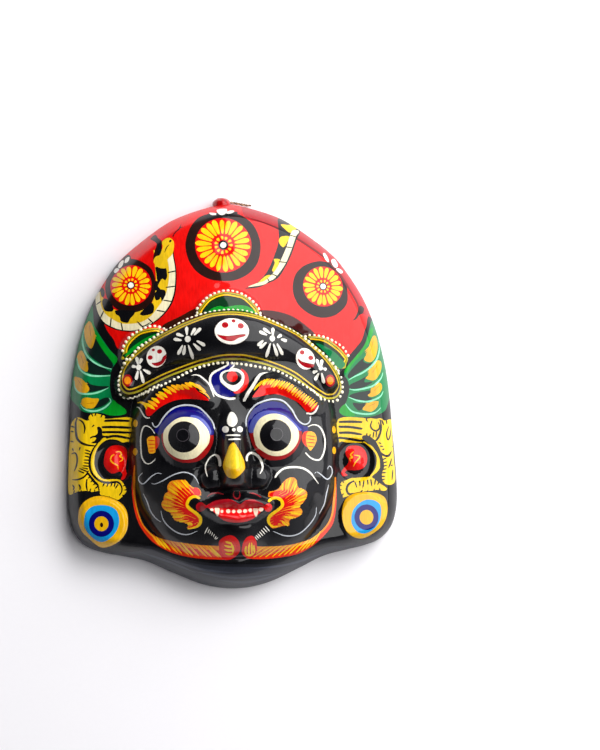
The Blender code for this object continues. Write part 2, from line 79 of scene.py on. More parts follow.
def newMaterial(name, roughness, coat=0.0, coatRoughness=0.05):
    paint = bpy.data.materials.new(name)
    paint.use_nodes = True
    shader = paint.node_tree.nodes["Principled BSDF"]
    shader.inputs["Roughness"].default_value = roughness
    shader.inputs["Coat Weight"].default_value = coat
    shader.inputs["Coat Roughness"].default_value = coatRoughness
    return paint, paint.node_tree, shader


def linear(colour):
    return [(c / 255.0 / 12.92) if c < 10.3 else ((c / 255.0 + 0.055) / 1.055) ** 2.4 for c in colour]


def opaque(colour):
    return (*linear(colour), 1.0)


def put(tree, kind, inputs=None, **settings):
    made = tree.nodes.new(kind)
    for name, value in settings.items():
        setattr(made, name, value)
    for name, value in (inputs or {}).items():
        if isinstance(value, bpy.types.NodeSocket):
            tree.links.new(value, made.inputs[name])
        else:
            made.inputs[name].default_value = value
    return made


def newGroup(name, inputs, outputs):
    group = bpy.data.node_groups.new(name, "ShaderNodeTree")
    kinds = {"colour": "NodeSocketColor", "value": "NodeSocketFloat"}
    for label, kind, start in inputs:
        made = group.interface.new_socket(name=label, in_out="INPUT", socket_type=kinds[kind])
        made.default_value = start
    for label, kind in outputs:
        group.interface.new_socket(name=label, in_out="OUTPUT", socket_type=kinds[kind])
    return group, group.nodes.new("NodeGroupInput"), group.nodes.new("NodeGroupOutput")


# Mottled colour: a second tone comes and goes in soft patches, with fine specks over both
def makeMottleGroup():
    group, start, end = newGroup(
        "mottle",
        [("Color", "colour", (0.5, 0.5, 0.5, 1.0)), ("Second", "colour", (0.4, 0.4, 0.4, 1.0)),
         ("Patches per metre", "value", 60.0), ("Specks per metre", "value", 900.0),
         ("Strength", "value", 0.5)],
        [("Color", "colour"), ("Mask", "value"), ("Height", "value")])
    place = group.nodes.new("ShaderNodeTexCoord")
    patches = put(group, "ShaderNodeTexNoise", {"Vector": place.outputs["Object"], "Detail": 4.0,
                                                "Scale": start.outputs["Patches per metre"]})
    specks = put(group, "ShaderNodeTexNoise", {"Vector": place.outputs["Object"], "Detail": 2.0,
                                               "Scale": start.outputs["Specks per metre"]})
    both = put(group, "ShaderNodeMath", {0: patches.outputs["Fac"], 1: specks.outputs["Fac"]},
               operation="ADD")
    share = put(group, "ShaderNodeMapRange", {"Value": both.outputs[0], "From Min": 0.75, "From Max": 1.25})
    amount = put(group, "ShaderNodeMath", {0: share.outputs[0], 1: start.outputs["Strength"]},
                 operation="MULTIPLY")
    colour = put(group, "ShaderNodeMix", {0: amount.outputs[0], 6: start.outputs["Color"],
                                          7: start.outputs["Second"]}, data_type="RGBA")
    group.links.new(colour.outputs[2], end.inputs["Color"])
    group.links.new(share.outputs[0], end.inputs["Mask"])
    group.links.new(both.outputs[0], end.inputs["Height"])
    return group


mottleGroup = makeMottleGroup()


def mottledMaterial(name, first, second, roughness, patches, specks, strength, bump):
    paint, tree, shader = newMaterial(name, roughness)
    values = {"Color": opaque(first), "Second": opaque(second), "Patches per metre": patches,
              "Specks per metre": specks, "Strength": strength}
    group = put(tree, "ShaderNodeGroup", values, node_tree=mottleGroup)
    rough = put(tree, "ShaderNodeMapRange", {"Value": group.outputs["Mask"], "To Min": roughness * 0.85,
                                             "To Max": min(roughness * 1.2, 1.0)})
    raised = put(tree, "ShaderNodeBump", {"Height": group.outputs["Height"], "Strength": bump[0],
                                          "Distance": bump[1]})
    tree.links.new(group.outputs["Color"], shader.inputs["Base Color"])
    tree.links.new(rough.outputs[0], shader.inputs["Roughness"])
    tree.links.new(raised.outputs[0], shader.inputs["Normal"])
    return paint


# The smooth way between the middle two of four places, at a share t of it
def stretch(start, first, second, end, t):
    return 0.5 * (2.0 * first + (second - start) * t
                  + (2.0 * start - 5.0 * first + 4.0 * second - end) * t ** 2
                  + (3.0 * first - start - 3.0 * second + end) * t ** 3)


def smoothThrough(points, perStretch):
    points = [np.array(point, dtype=float) for point in points]
    ends = [2.0 * points[0] - points[1]] + points + [2.0 * points[-1] - points[-2]]
    smooth = [stretch(*four, step / perStretch) for four in zip(ends, ends[1:], ends[2:], ends[3:])
              for step in range(perStretch)]
    return np.array(smooth + [points[-1]])


def closedCurve(points, perStretch=5):
    points = np.array(points, dtype=float)
    four = (np.roll(points, shift, axis=0)[:, None, :] for shift in (1, 0, -1, -2))
    t = np.linspace(0.0, 1.0, perStretch, endpoint=False)[None, :, None]
    return stretch(*four, t).reshape(-1, 2)


def evenSteps(line, spacing):
    length = np.concatenate([[0.0], np.cumsum(np.linalg.norm(np.diff(line, axis=0), axis=1))])
    steps = np.linspace(0.0, length[-1], max(round(length[-1] / spacing), 2) + 1)
    return np.column_stack([np.interp(steps, length, line[:, axis]) for axis in range(line.shape[1])])


# As many places of a line as asked for
def picked(line, count):
    return line[np.linspace(0, len(line) - 1, count).astype(int)]


# Twine: two strands twisted into a short loop that leaves the lump at the apex and goes back into it
twine = {
    "diameter": 0.0011,
    "corner": (0.0026, 0.1221, 0.00055),
    "route": [
        (-0.00115, 0.0009, 0.0033), (0.0018, 0.0012, 0.0014), (0.0047, 0.0009, 0.0004),
        (0.0075, 0.0003, 0.0001), (0.0102, -0.0002, 0.0002), (0.0122, -0.0007, 0.0008),
        (0.0135, -0.0011, 0.0025), (0.0135, -0.0014, 0.0047), (0.0122, -0.0015, 0.0064),
        (0.0102, -0.0014, 0.0071), (0.0075, -0.0010, 0.0073), (0.0046, -0.0003, 0.0073),
        (0.0022, 0.0003, 0.0072), (0.0001, 0.0005, 0.0070),
    ],                      # the same points as the solid's, measured from the corner
    "turnLength": 0.0034,   # metres for one full twist
    "strandColours": (((84, 60, 40), (48, 34, 24)), ((214, 186, 150), (150, 116, 84))),
    "strandRadius": 0.29,   # these two are shares of the diameter
    "strandOffset": 0.25,
    "strandSides": 8,
    "step": 0.0002,         # metres between the rings of a strand
    "fibre": (0.85, 700.0, 5000.0, 0.9, (0.6, 0.0002)),     # as mottledMaterial takes them
}


def makeTwine():
    line = evenSteps(smoothThrough(np.array(twine["route"]) + twine["corner"], 12), twine["step"])
    along = np.gradient(line, axis=0)
    along /= np.linalg.norm(along, axis=1)[:, None]
    side = np.array([0.0, 1.0, 0.0]) - along * along[:, 1:2]
    side /= np.linalg.norm(side, axis=1)[:, None]
    other = np.cross(along, side)
    length = np.arange(len(line)) * np.linalg.norm(np.diff(line, axis=0), axis=1).mean()
    verts, faces = [], []
    sides = twine["strandSides"]
    for strand in range(2):
        twist = 2.0 * math.pi * length / twine["turnLength"] + math.pi * strand
        out = np.cos(twist)[:, None] * side + np.sin(twist)[:, None] * other
        middle = line + twine["strandOffset"] * twine["diameter"] * out
        first = len(verts)
        for centre, a, b in zip(middle, side, other):
            for turn in range(sides):
                angle = 2.0 * math.pi * turn / sides
                verts.append(centre + twine["strandRadius"] * twine["diameter"]
                             * (math.cos(angle) * a + math.sin(angle) * b))
        for step in range(len(line) - 1):
            for turn in range(sides):
                a, b = first + step * sides + turn, first + step * sides + (turn + 1) % sides
                faces.append((a, b, b + sides, a + sides))
        last = first + (len(line) - 1) * sides
        faces.append(tuple(range(first, first + sides))[::-1])
        faces.append(tuple(range(last, last + sides)))
    mesh = bpy.data.meshes.new("twine_loop")
    mesh.from_pydata(verts, [], faces)
    mesh.shade_smooth()
    placed = link(bpy.data.objects.new("twine_loop", mesh))
    for number, colours in enumerate(twine["strandColours"]):
        mesh.materials.append(mottledMaterial("twine_fibre_%d" % number, *colours, *twine["fibre"]))
    half = len(faces) // 2
    mesh.polygons.foreach_set("material_index", [0] * half + [1] * half)
    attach(placed, "root")
    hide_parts("hanging_cord")


makeTwine()
print("twine made")


# Form of the mask, the same as the solid's
form = {
    "wall": 3.2,
    "sideShoulder": 11.5,   # how far in from the rim the rounded edge ends
    "chinShoulder": 20.0,   # the same below the jaw, where the edge is rounder
    "jawEdge": (-92.0, 14.0),   # where that begins, and length of the change
    "jawReach": (50.0, 24.0),
    "rimHalf": [            # right half of the rim, from the apex to the chin
        (0.0, 122.2), (14.0, 119.5), (30.0, 114.3), (41.0, 108.7), (54.6, 99.0), (66.5, 89.3),
        (74.9, 79.7), (86.9, 60.3), (94.6, 40.9), (99.5, 21.5), (102.4, 2.1), (104.2, -26.9),
        (105.4, -46.3), (106.0, -65.7), (105.0, -78.0), (101.5, -88.5), (94.0, -96.3),
        (84.0, -100.2), (72.0, -102.8), (57.0, -106.4), (40.0, -114.2), (20.0, -122.6), (0.0, -125.6),
    ],
    "domeCentre": (0.0, 15.0),
    "domeRadii": (108.0, 118.0),
    "domeHeights": (12.0, 36.0),    # foot, rise
    "domeStart": (5.0, 55.0),       # where the panels give way to it, and length of the change
    "panelHeights": (10.0, 24.0),
    "panelRadius": 122.0,
    "crests": [             # centre, radii, turn in degrees
        ((-2.0, 46.5), (23.0, 18.0), 0.0),
        ((-55.0, 26.5), (18.5, 15.5), 32.0),
        ((57.0, 19.5), (19.0, 14.5), -36.0),
    ],
    "crestRise": 3.2,
    "crestEdge": 0.22,      # share of the radius over which the edge rounds off
    "ears": [(-76.6, -43.5), (76.9, -46.0)],
    "earHollow": ((13.0, 15.0), 3.0),   # radii, depth
    "earLobe": ((7.5, 8.5), 5.0),
    "earrings": [(-84.6, -81.2), (81.4, -81.8)],
    "earring": (16.6, 2.2, 0.15),       # radius, rise, share over which the edge rounds off
    "bandMiddle": (-3.0, 34.0),
    "bandRadius": 82.0,     # of the arc that the middle of the band follows
    "bandReach": 62.0,      # half span of that arc
    "bandHalfWidth": (16.5, 9.5),       # at the middle, at the ends
    "bandFoot": (48.0, 31.0),
    "bandRise": (16.0, 12.0),
    "faceCentre": (0.0, -36.0),
    "faceRadii": (66.0, 70.0, 78.0),    # across, down to the jaw, up under the band
    "faceSquareness": 2.6,
    "faceHeights": (26.0, 31.0),
    "eyes": [(-30.4, -30.2), (24.9, -30.4)],
    "eye": ((18.6, 18.6), 9.5),
    "brows": [
        [(-17.0, -5.0), (-25.0, 3.0), (-36.0, 5.0), (-48.0, 0.0), (-57.0, -9.0)],
        [(11.0, -5.0), (18.0, 2.0), (28.0, 4.0), (41.0, -2.0), (50.0, -11.0)],
    ],
    "brow": (8.0, 3.4),     # half width, rise
    "noseLine": -1.5,
    "noseRows": (-8.0, -50.0, -62.5),   # top, tip, base
    "noseHalfWidth": (7.0, 13.0),
    "noseRise": 21.8,
    "noseCurves": (1.3, 1.2, 1.8),      # powers: down the bridge, across it, of the hollow behind
    "nostrils": [(-15.0, -54.5), (12.5, -54.0)],
    "nostril": (9.0, 8.0, 0.8),     # radius, rise, power
    "nostrilBlend": 2.0,
    "fullness": [           # cheeks, muzzle and chin: centre, radii, rise
        ((-34.0, -66.0), (23.0, 24.0), 5.5), ((32.0, -66.0), (23.0, 24.0), 5.5),
        ((-0.5, -73.0), (34.0, 20.0), 5.0), ((0.5, -92.0), (21.0, 13.0), 6.0),
    ],
    "lips": [
        [(-19.5, -72.8), (-12.0, -70.0), (-4.5, -68.6), (0.0, -70.4), (4.5, -68.6), (12.0, -70.0),
         (18.5, -72.8)],
        [(-18.0, -74.5), (-10.0, -79.0), (0.0, -80.4), (10.0, -79.0), (17.0, -74.5)],
    ],
    "lip": (4.6, 4.6),
    "ball": ((0.4, 0.7, 0.9, 0.999), 30),   # feels for the hollow: its rings, degrees between their points
    "blend": 4.0,           # how softly one form runs into the next
    "bandBlend": 2.5,
}


def smoothStep(share):
    share = np.clip(share, 0.0, 1.0)
    return share * share * (3.0 - 2.0 * share)


def between(pair, share):
    return pair[0] + (pair[1] - pair[0]) * share


def smoothMax(first, second, blend):
    overlap = np.maximum(blend - np.abs(first - second), 0.0) / blend
    return np.maximum(first, second) + overlap * overlap * blend / 4.0


# Squared distance from the centre, 1 on the edge of the oval
def oval(x, y, centre, radii, turn=0.0):
    c, s = math.cos(math.radians(turn)), math.sin(math.radians(turn))
    across, along = x - centre[0], y - centre[1]
    return ((across * c + along * s) / radii[0]) ** 2 + ((along * c - across * s) / radii[1]) ** 2


# A ball-like cap that meets its ground in a crease; squared, it is a soft swelling
def cap(x, y, centre, radii):
    return 1.0 - np.minimum(oval(x, y, centre, radii), 1.0)


def ridges(x, y, lines, halfWidth):
    nearest = np.full(np.shape(x), np.inf)
    for line in lines:
        for (ax, ay), (bx, by) in zip(line[:-1], line[1:]):
            dx, dy = bx - ax, by - ay
            share = np.clip(((x - ax) * dx + (y - ay) * dy) / (dx * dx + dy * dy), 0.0, 1.0)
            nearest = np.minimum(nearest, np.hypot(x - ax - share * dx, y - ay - share * dy))
    return (1.0 - np.minimum(nearest / halfWidth, 1.0) ** 2) ** 2


# The dome of the head above, running down into the flatter side panels with their ear hollows
def ground(x, y):
    spread = oval(x, y, form["domeCentre"], form["domeRadii"])
    dome = form["domeHeights"][0] + form["domeHeights"][1] * np.sqrt(np.maximum(1.0 - spread, 0.0))
    flatter = np.sqrt(np.maximum(1.0 - (x / form["panelRadius"]) ** 2, 0.0))
    panel = form["panelHeights"][0] + form["panelHeights"][1] * flatter
    foot, change = form["domeStart"]
    height = panel + (dome - panel) * smoothStep((y - foot) / change)
    for ear in form["ears"]:
        height = height - form["earHollow"][1] * smoothStep(2.0 * cap(x, y, ear, form["earHollow"][0]))
    return height


def groundCarving(x, y):
    height = np.zeros(np.shape(x))
    for centre, radii, turn in form["crests"]:
        edge = 1.0 - np.sqrt(oval(x, y, centre, radii, turn))
        height = height + form["crestRise"] * smoothStep(edge / form["crestEdge"])
    for ear in form["ears"]:
        height = height + form["earLobe"][1] * cap(x, y, ear, form["earLobe"][0])
    radius, rise, share = form["earring"]
    for earring in form["earrings"]:
        edge = 1.0 - np.hypot(x - earring[0], y - earring[1]) / radius
        height = height + rise * smoothStep(edge / share)
    return height


# A wedge that rises to 1 at the tip and drops steeply under it
def nose(x, y):
    top, tip, base = form["noseRows"]
    down = np.clip((top - y) / (top - tip), 0.0, 1.0)
    under = np.clip((tip - y) / (tip - base), 0.0, 1.0)
    across = np.minimum(np.abs(x - form["noseLine"]) / between(form["noseHalfWidth"], down), 1.0)
    bridge, side, _ = form["noseCurves"]
    return down ** bridge * np.sqrt(1.0 - under ** 2) * (1.0 - across ** 2) ** side


# 0 in the middle of the face and 1 on its foot line
def faceEdge(x, y):
    middle, radii = form["faceCentre"], form["faceRadii"]
    along = np.abs(y - middle[1]) / np.where(y < middle[1], radii[1], radii[2])
    across = np.abs(x - middle[0]) / radii[0]
    return across ** form["faceSquareness"] + along ** form["faceSquareness"]


def fullness(x, y):
    return sum(rise * cap(x, y, centre, radii) ** 2 for centre, radii, rise in form["fullness"])


def features(x, y):
    forms = form["brow"][1] * ridges(x, y, form["brows"], form["brow"][0])
    forms = forms + form["lip"][1] * ridges(x, y, form["lips"], form["lip"][0])
    for eye in form["eyes"]:
        forms = forms + form["eye"][1] * cap(x, y, eye, form["eye"][0])
    radius, rise, power = form["nostril"]
    wings = sum(rise * cap(x, y, nostril, (radius, radius)) ** power for nostril in form["nostrils"])
    return forms + smoothMax(wings, form["noseRise"] * nose(x, y), form["nostrilBlend"])


# What of the eyes and the nose shows as hollows from behind
def softFeatures(x, y):
    forms = form["noseRise"] * nose(x, y) ** form["noseCurves"][2]
    return forms + sum(form["eye"][1] * cap(x, y, eye, form["eye"][0]) ** 2 for eye in form["eyes"])


def face(x, y, forms):
    inside = np.sqrt(np.maximum(1.0 - faceEdge(x, y), 0.0))
    return form["faceHeights"][0] + form["faceHeights"][1] * inside + forms * smoothStep(2.0 * inside)


# The padded roll across the forehead: a half round that narrows towards its ends
def band(x, y, fullest):
    radius, middleX = form["bandRadius"], form["bandMiddle"][0]
    middleY = form["bandMiddle"][1] - radius
    reach = math.asin(form["bandReach"] / radius)
    angle = np.clip(np.arctan2(x - middleX, y - middleY), -reach, reach)
    off = np.hypot(x - middleX - radius * np.sin(angle), y - middleY - radius * np.cos(angle))
    share = smoothStep(np.abs(angle) / reach)
    inside = np.maximum(1.0 - (off / between(form["bandHalfWidth"], share)) ** 2, 0.0)
    height = between(form["bandFoot"], share) + between(form["bandRise"], share) * inside ** fullest
    return np.where(inside > 0.0, height, 0.0)


def outerForm(x, y):
    height = ground(x, y) + groundCarving(x, y)
    height = smoothMax(height, face(x, y, fullness(x, y) + features(x, y)), form["blend"])
    return smoothMax(height, band(x, y, 0.5), form["bandBlend"])


# The plainer form under the carving, which the hollow inside follows
def innerForm(x, y):
    height = smoothMax(ground(x, y), face(x, y, fullness(x, y) + softFeatures(x, y)), form["blend"])
    return smoothMax(height, band(x, y, 1.0), form["bandBlend"])


# The rim as a closed, evenly spaced loop, counter-clockwise
def rimLine(count):
    half = np.array(form["rimHalf"])
    loop = np.vstack([half[::-1], half[1:-1] * (-1.0, 1.0)])
    fine = closedCurve(loop, 24)
    fine = np.vstack([fine, fine[:1]])
    length = np.concatenate([[0.0], np.cumsum(np.hypot(*np.diff(fine, axis=0).T))])
    steps = np.linspace(0.0, length[-1], count, endpoint=False)
    return np.column_stack([np.interp(steps, length, fine[:, 0]), np.interp(steps, length, fine[:, 1])])


rim = rimLine(480)


# Distance inwards from the rim, less than 0 outside it, and the way in from the nearest place on it
def fromRim(points):
    nearest = np.full(len(points), np.inf)
    inside = np.zeros(len(points), dtype=bool)
    inward = np.zeros(points.shape)
    for first, second in zip(rim, np.roll(rim, -1, axis=0)):
        edge = second - first
        share = np.clip(((points - first) @ edge) / (edge @ edge), 0.0, 1.0)
        away = points - first - share[:, None] * edge
        distance = np.hypot(*away.T)
        closer = distance < nearest
        nearest[closer] = distance[closer]
        inward[closer] = away[closer]
        crosses = (first[1] > points[:, 1]) != (second[1] > points[:, 1])
        if first[1] != second[1]:
            at = first[0] + (points[:, 1] - first[1]) * edge[0] / edge[1]
            inside ^= crosses & (points[:, 0] < at)
    side = np.where(inside, 1.0, -1.0)
    return nearest * side, inward * (side / np.maximum(nearest, 1e-9))[:, None]


def shoulderWidth(points):
    x, y = points.T
    down = smoothStep((form["jawEdge"][0] - y) / form["jawEdge"][1])
    reach, change = form["jawReach"]
    share = down * smoothStep((reach + change - np.abs(x)) / change)
    return between((form["sideShoulder"], form["chinShoulder"]), share)


def heightOf(shape, points, distance):
    share = np.clip(distance / shoulderWidth(points), 0.0, 1.0)
    return shape(*points.T) * np.sqrt(1.0 - (1.0 - share) ** 2)


# Lowest reach of a ball of the wall's thickness that rolls under the plainer form
def innerHeight(points, base):
    wall = form["wall"]
    distance = fromRim(points)[0]
    near = distance < form["chinShoulder"] + wall
    lowest = heightOf(innerForm, points, distance) - wall
    rings, apart = form["ball"]
    for ring in rings:
        for turn in range(0, 360, apart):
            angle = base + math.radians(turn)
            reach = ring * wall
            moved = points + reach * np.column_stack([np.cos(angle), np.sin(angle)])
            distance[near] = fromRim(moved[near])[0]
            under = heightOf(innerForm, moved, distance) - math.sqrt(wall ** 2 - reach ** 2)
            lowest = np.minimum(lowest, under)
    return lowest


def toMetres(points, height):
    return np.column_stack([points[:, 0], points[:, 1] + sheetShift, height]) * 0.001


# Paints, as they look under the lacquer
paints = {
    "black": (11, 11, 14),
    "red": (222, 8, 4),
    "crimson": (170, 10, 24),
    "maroon": (66, 10, 8),
    "brown": (52, 18, 6),
    "umber": (34, 12, 8),
    "yellow": (250, 200, 12),
    "snake yellow": (226, 184, 24),
    "olive": (178, 166, 40),
    "deep yellow": (214, 176, 26),
    "orange": (240, 140, 20),
    "ochre": (226, 166, 14),
    "cream": (238, 228, 188),
    "white": (244, 240, 228),
    "green": (0, 122, 66),
    "bright green": (0, 150, 34),
    "dark green": (0, 52, 22),
    "umber green": (10, 30, 26),
    "dark ochre": (180, 112, 8),
    "pale green": (136, 222, 180),
    "navy": (3, 5, 108),
    "sky blue": (16, 148, 214),
    "lilac": (82, 90, 172),
    "orange red": (228, 46, 8),
    "deep red": (158, 14, 14),
    "dim red": (150, 26, 34),
    "dark red": (104, 2, 6),
    "lip red": (228, 10, 12),
    "dark lip": (166, 8, 26),
    "pink": (236, 110, 100),
    "amber": (250, 172, 20),
    "gold": (228, 172, 10),
    "bright gold": (240, 200, 34),
    "panel yellow": (238, 196, 16),
    "tooth": (250, 226, 200),
    "pale grey": (196, 200, 206),
    "dim slate": (24, 25, 31),
    "slate": (42, 45, 55),
    "pale slate": (60, 64, 77),
    "iris grey": (70, 66, 70),
}

canvas = []                 # outlines from the ground up, each with its paint
hand = random.Random(7)     # the painter's hand
brush = {
    "step": 0.9,            # millimetres between the places of a line
    "taper": 0.3,           # share of its length over which a line swells
    "tip": 0.8,             # how far its round ends reach, over half its width
    "wobble": 0.08,         # of its width
    "petalHalf": [(0.0, 0.18), (0.3, 0.36), (0.66, 0.5), (0.88, 0.4)],     # shares of length and width
    "petalWobble": (0.07, 0.04, 0.1),       # of a petal's turn, length and width
}


# Places in tenths of a millimetre: x,y, x,y and so on
def at(*numbers):
    return np.reshape(numbers, (-1, 2)) / 10.0


# The same for many short lines of two places each
def pairs(*numbers):
    return np.reshape(numbers, (-1, 2, 2)) / 10.0


def lay(paint, outline):
    canvas.append((paint, np.array(outline, dtype=float)))


def patch(paint, points, perStretch=5):
    lay(paint, closedCurve(points, perStretch))


# An outline moved inwards: by one amount on its upper side and another on its lower side
def inset(outline, upper, lower=None):
    inward = inwardOf(outline)
    if polygonArea(outline) < 0.0:
        inward = -inward
    share = smoothStep(0.5 - 0.8 * inward[:, 1])
    amount = between((upper if lower is None else lower, upper), share)
    return outline + inward * amount[:, None]


def polygonArea(outline):
    x, y = outline.T
    return 0.5 * float(np.sum(x * np.roll(y, -1) - np.roll(x, -1) * y))


def inwardOf(loop):
    along = np.roll(loop, -1, axis=0) - np.roll(loop, 1, axis=0)
    inward = np.column_stack([-along[:, 1], along[:, 0]])
    return inward / np.maximum(np.hypot(*inward.T), 1e-9)[:, None]


def disc(paint, centre, radius, other=None, turn=0.0):
    other = other or radius
    steps = max(12, int(2.0 * math.pi * max(radius, other) / 0.8))
    around = np.linspace(0.0, 2.0 * math.pi, steps, endpoint=False)
    c, s = math.cos(math.radians(turn)), math.sin(math.radians(turn))
    across, along = radius * np.cos(around), other * np.sin(around)
    lay(paint, np.column_stack([across * c - along * s, across * s + along * c]) + centre)


# A brush line: it starts and ends at these shares of its full width
def stroke(paint, points, width, start=0.35, end=0.35):
    line = evenSteps(smoothThrough(points, 8), brush["step"])
    share = np.linspace(0.0, 1.0, len(line))
    full = np.minimum(smoothStep(share / brush["taper"]) * (1.0 - start) + start,
                      smoothStep((1.0 - share) / brush["taper"]) * (1.0 - end) + end)
    half = 0.5 * width * full * np.array([1.0 + brush["wobble"] * hand.uniform(-1.0, 1.0) for _ in line])
    along = np.gradient(line, axis=0)
    along /= np.hypot(*along.T)[:, None]
    side = np.column_stack([-along[:, 1], along[:, 0]]) * half[:, None]
    tip = along[-1:] * half[-1] * brush["tip"]
    tail = along[:1] * half[0] * brush["tip"]
    lay(paint, np.vstack([line[:1] - tail, line + side, line[-1:] + tip, (line - side)[::-1]]))


def strokes(paint, lines, width, start=0.35, end=0.35):
    for line in lines:
        stroke(paint, line, width, start, end)


# A drop-shaped petal that points from one place to another
def petal(paint, root, tip, width):
    root, tip = np.array(root, dtype=float), np.array(tip, dtype=float)
    along = tip - root
    side = np.array([-along[1], along[0]]) / np.hypot(*along)
    shape = brush["petalHalf"] + [(1.0, 0.0)] + [(a, -b) for a, b in reversed(brush["petalHalf"])]
    patch(paint, [root + along * a + side * b * width for a, b in shape], 2)


def petals(paint, centre, count, inner, outer, width, turn=0.0):
    turns, lengths, widths = brush["petalWobble"]
    for number in range(count):
        angle = math.radians(turn) + 2.0 * math.pi * (number + turns * hand.uniform(-1.0, 1.0)) / count
        way = np.array([math.cos(angle), math.sin(angle)])
        reach = outer * (1.0 + lengths * hand.uniform(-1.0, 1.0))
        broad = width * (1.0 + widths * hand.uniform(-1.0, 1.0))
        petal(paint, centre + inner * way, centre + reach * way, broad)


# How often each outline goes round each point decides what is inside it; the last one laid shows
def paintOf(centres, outlines, names):
    order = np.argsort(centres[:, 0])
    sortedX = centres[order, 0]
    shown = np.zeros(len(centres), dtype=int)
    for number, line in enumerate(outlines, start=1):
        low, high = np.searchsorted(sortedX, (line[:, 0].min(), line[:, 0].max()))
        near = order[low:high]
        near = near[(centres[near, 1] > line[:, 1].min()) & (centres[near, 1] < line[:, 1].max())]
        if not len(near):
            continue
        x, y = centres[near].T
        turns = np.zeros(len(near), dtype=int)
        for (ax, ay), (bx, by) in zip(line, np.roll(line, -1, axis=0)):
            if ay == by:
                continue
            right = ax + (y - ay) * (bx - ax) / (by - ay) > x
            turns += ((ay <= y) & (by > y) & right).astype(int) - ((by <= y) & (ay > y) & right).astype(int)
        shown[near[turns != 0]] = number
    colours = np.array([linear(paints[name]) for name in ["black"] + names])
    return colours[shown]


# The lower rim and the underside of the chin: painted reflection, a slate sheen over the black with paler
# streaks
sheenBand = closedCurve(at(-1082,-582, -1066,-691, -1041,-787, -984,-876, -891,-948, -784,-983, -639,-979,
    -545,-962, -458,-1002, -327,-1050, -171,-1079, -65,-1088, 195,-1096, 357,-1071, 499,-1012, 595,-983,
    726,-981, 862,-974, 971,-934, 1039,-860, 1074,-770, 1098,-641, 1137,-643, 1132,-817, 1089,-945, 995,-1026,
    811,-1085, 596,-1137, 432,-1215, 210,-1299, -29,-1311, -189,-1287, -323,-1244, -481,-1169, -608,-1095,
    -812,-1057, -958,-1027, -1078,-934, -1133,-817, -1133,-580))
lay("dim slate", sheenBand)
lay("slate", inset(sheenBand, 1.7, 0.0))
sheenStreaks = [
    at(-483,-1028, -234,-1116, -14,-1147),
    at(-283,-1129, -13,-1180, 278,-1160),
    at(80,-1124, 340,-1103, 604,-1030),
    at(-608,-1000, -408,-1075, -258,-1142),
    at(-138,-1190, 85,-1210, 347,-1151),
]
for streak in sheenStreaks:
    stroke("pale slate", streak, 1.4, 0.1, 0.1)

# The dome: a red ground, three flowers in dark rings and a snake
patch("red", at(-871,734, -801,448, -742,344, -693,274, -455,260, -59,366, 422,240, 685,166, 743,205, 796,260,
    832,305, 851,361, 865,396, 885,463, 952,563, 804,833, 602,1073, 358,1215, -3,1320, -356,1229, -619,1039,
    -778,868))

domeFlowers = [
    {"ring": at(-275,934, -242,1038, -182,1109, -104,1134, -22,1136, 66,1124, 133,1078, 175,1018, 199,922,
         178,806, 118,733, 35,693, -41,688, -128,700, -208,750, -259,829),
     "centre": (-3.7, 92), "ground": 17.8, "petals": (22, 7.7, 17.1, 3.2), "small": (11, 3.7, 5.8, 1.8),
     "discs": (3.1, 1.9)},
    {"ring": at(-786,703, -760,802, -701,863, -619,857, -545,825, -490,773, -467,682, -482,593, -534,532,
         -610,506, -697,520, -759,574, -783,630),
     "centre": (-62.5, 68.1), "ground": 13, "petals": (18, 5.8, 12.5, 2.8), "small": (10, 2.8, 4.4, 1.4),
     "discs": (2.5, 1.8)},
    {"ring": at(392,646, 416,727, 477,782, 568,809, 644,796, 704,754, 740,678, 747,594, 735,527, 680,473,
         628,451, 568,446, 502,466, 437,514, 402,572),
     "centre": (58.8, 64.5), "ground": 12.9, "petals": (18, 5.7, 12.5, 2.8), "small": (10, 2.6, 4.3, 1.3),
     "discs": (2.5, 1.8)},
]
for flower in domeFlowers:
    patch("umber", flower["ring"])
    centre = np.array(flower["centre"])
    disc("red", centre, flower["ground"])
    petals("yellow", centre, *flower["petals"], turn=hand.uniform(0.0, 20.0))
    petals("yellow", centre, *flower["small"])
    disc("black", centre, flower["discs"][0])
    disc("white", centre, flower["discs"][1])

# The fold along the dome's right edge: painted shade, a darker side with a dark line in the crease
patch("crimson", at(139,1278, 358,1215, 602,1073, 804,833, 952,563, 936,466, 824,476, 808,541, 771,611,
    711,715, 618,825, 448,948, 278,1041, 103,1110))
stroke("dark red", at(103,1110, 278,1041, 448,948, 618,825, 711,715, 771,611, 808,541, 824,476),
    1.6, 0.2, 0.9)

# White touches at the flowers' outer edges
patch("black", at(-142,1109, -127,1132, -70,1135, -12,1133, 61,1142, 55,1117, 19,1112, -14,1102, -65,1108,
    -111,1090))
whiteTouches = [
    at(-64,1162, -2,1164, -14,1127, -39,1118, -60,1131),
    at(-114,1141, -73,1133, -79,1120, -106,1124),
    at(-8,1138, 19,1151, 45,1147, 28,1131, -3,1127),
    at(-730,792, -713,810, -696,796, -705,780, -722,773),
    at(-702,820, -685,855, -665,856, -671,825, -683,806, -696,803),
    at(-661,836, -652,867, -629,874, -633,847, -647,833),
    at(602,861, 615,868, 630,844, 637,810, 627,806, 611,825),
    at(657,822, 681,834, 698,804, 695,779, 673,770, 656,797),
    at(681,759, 702,767, 728,754, 726,739, 706,734),
]
patch("umber", at(-742,785, -718,827, -657,892, -626,886, -621,845, -654,814, -693,792, -726,762))
for touch in whiteTouches:
    patch("white", touch, 3)

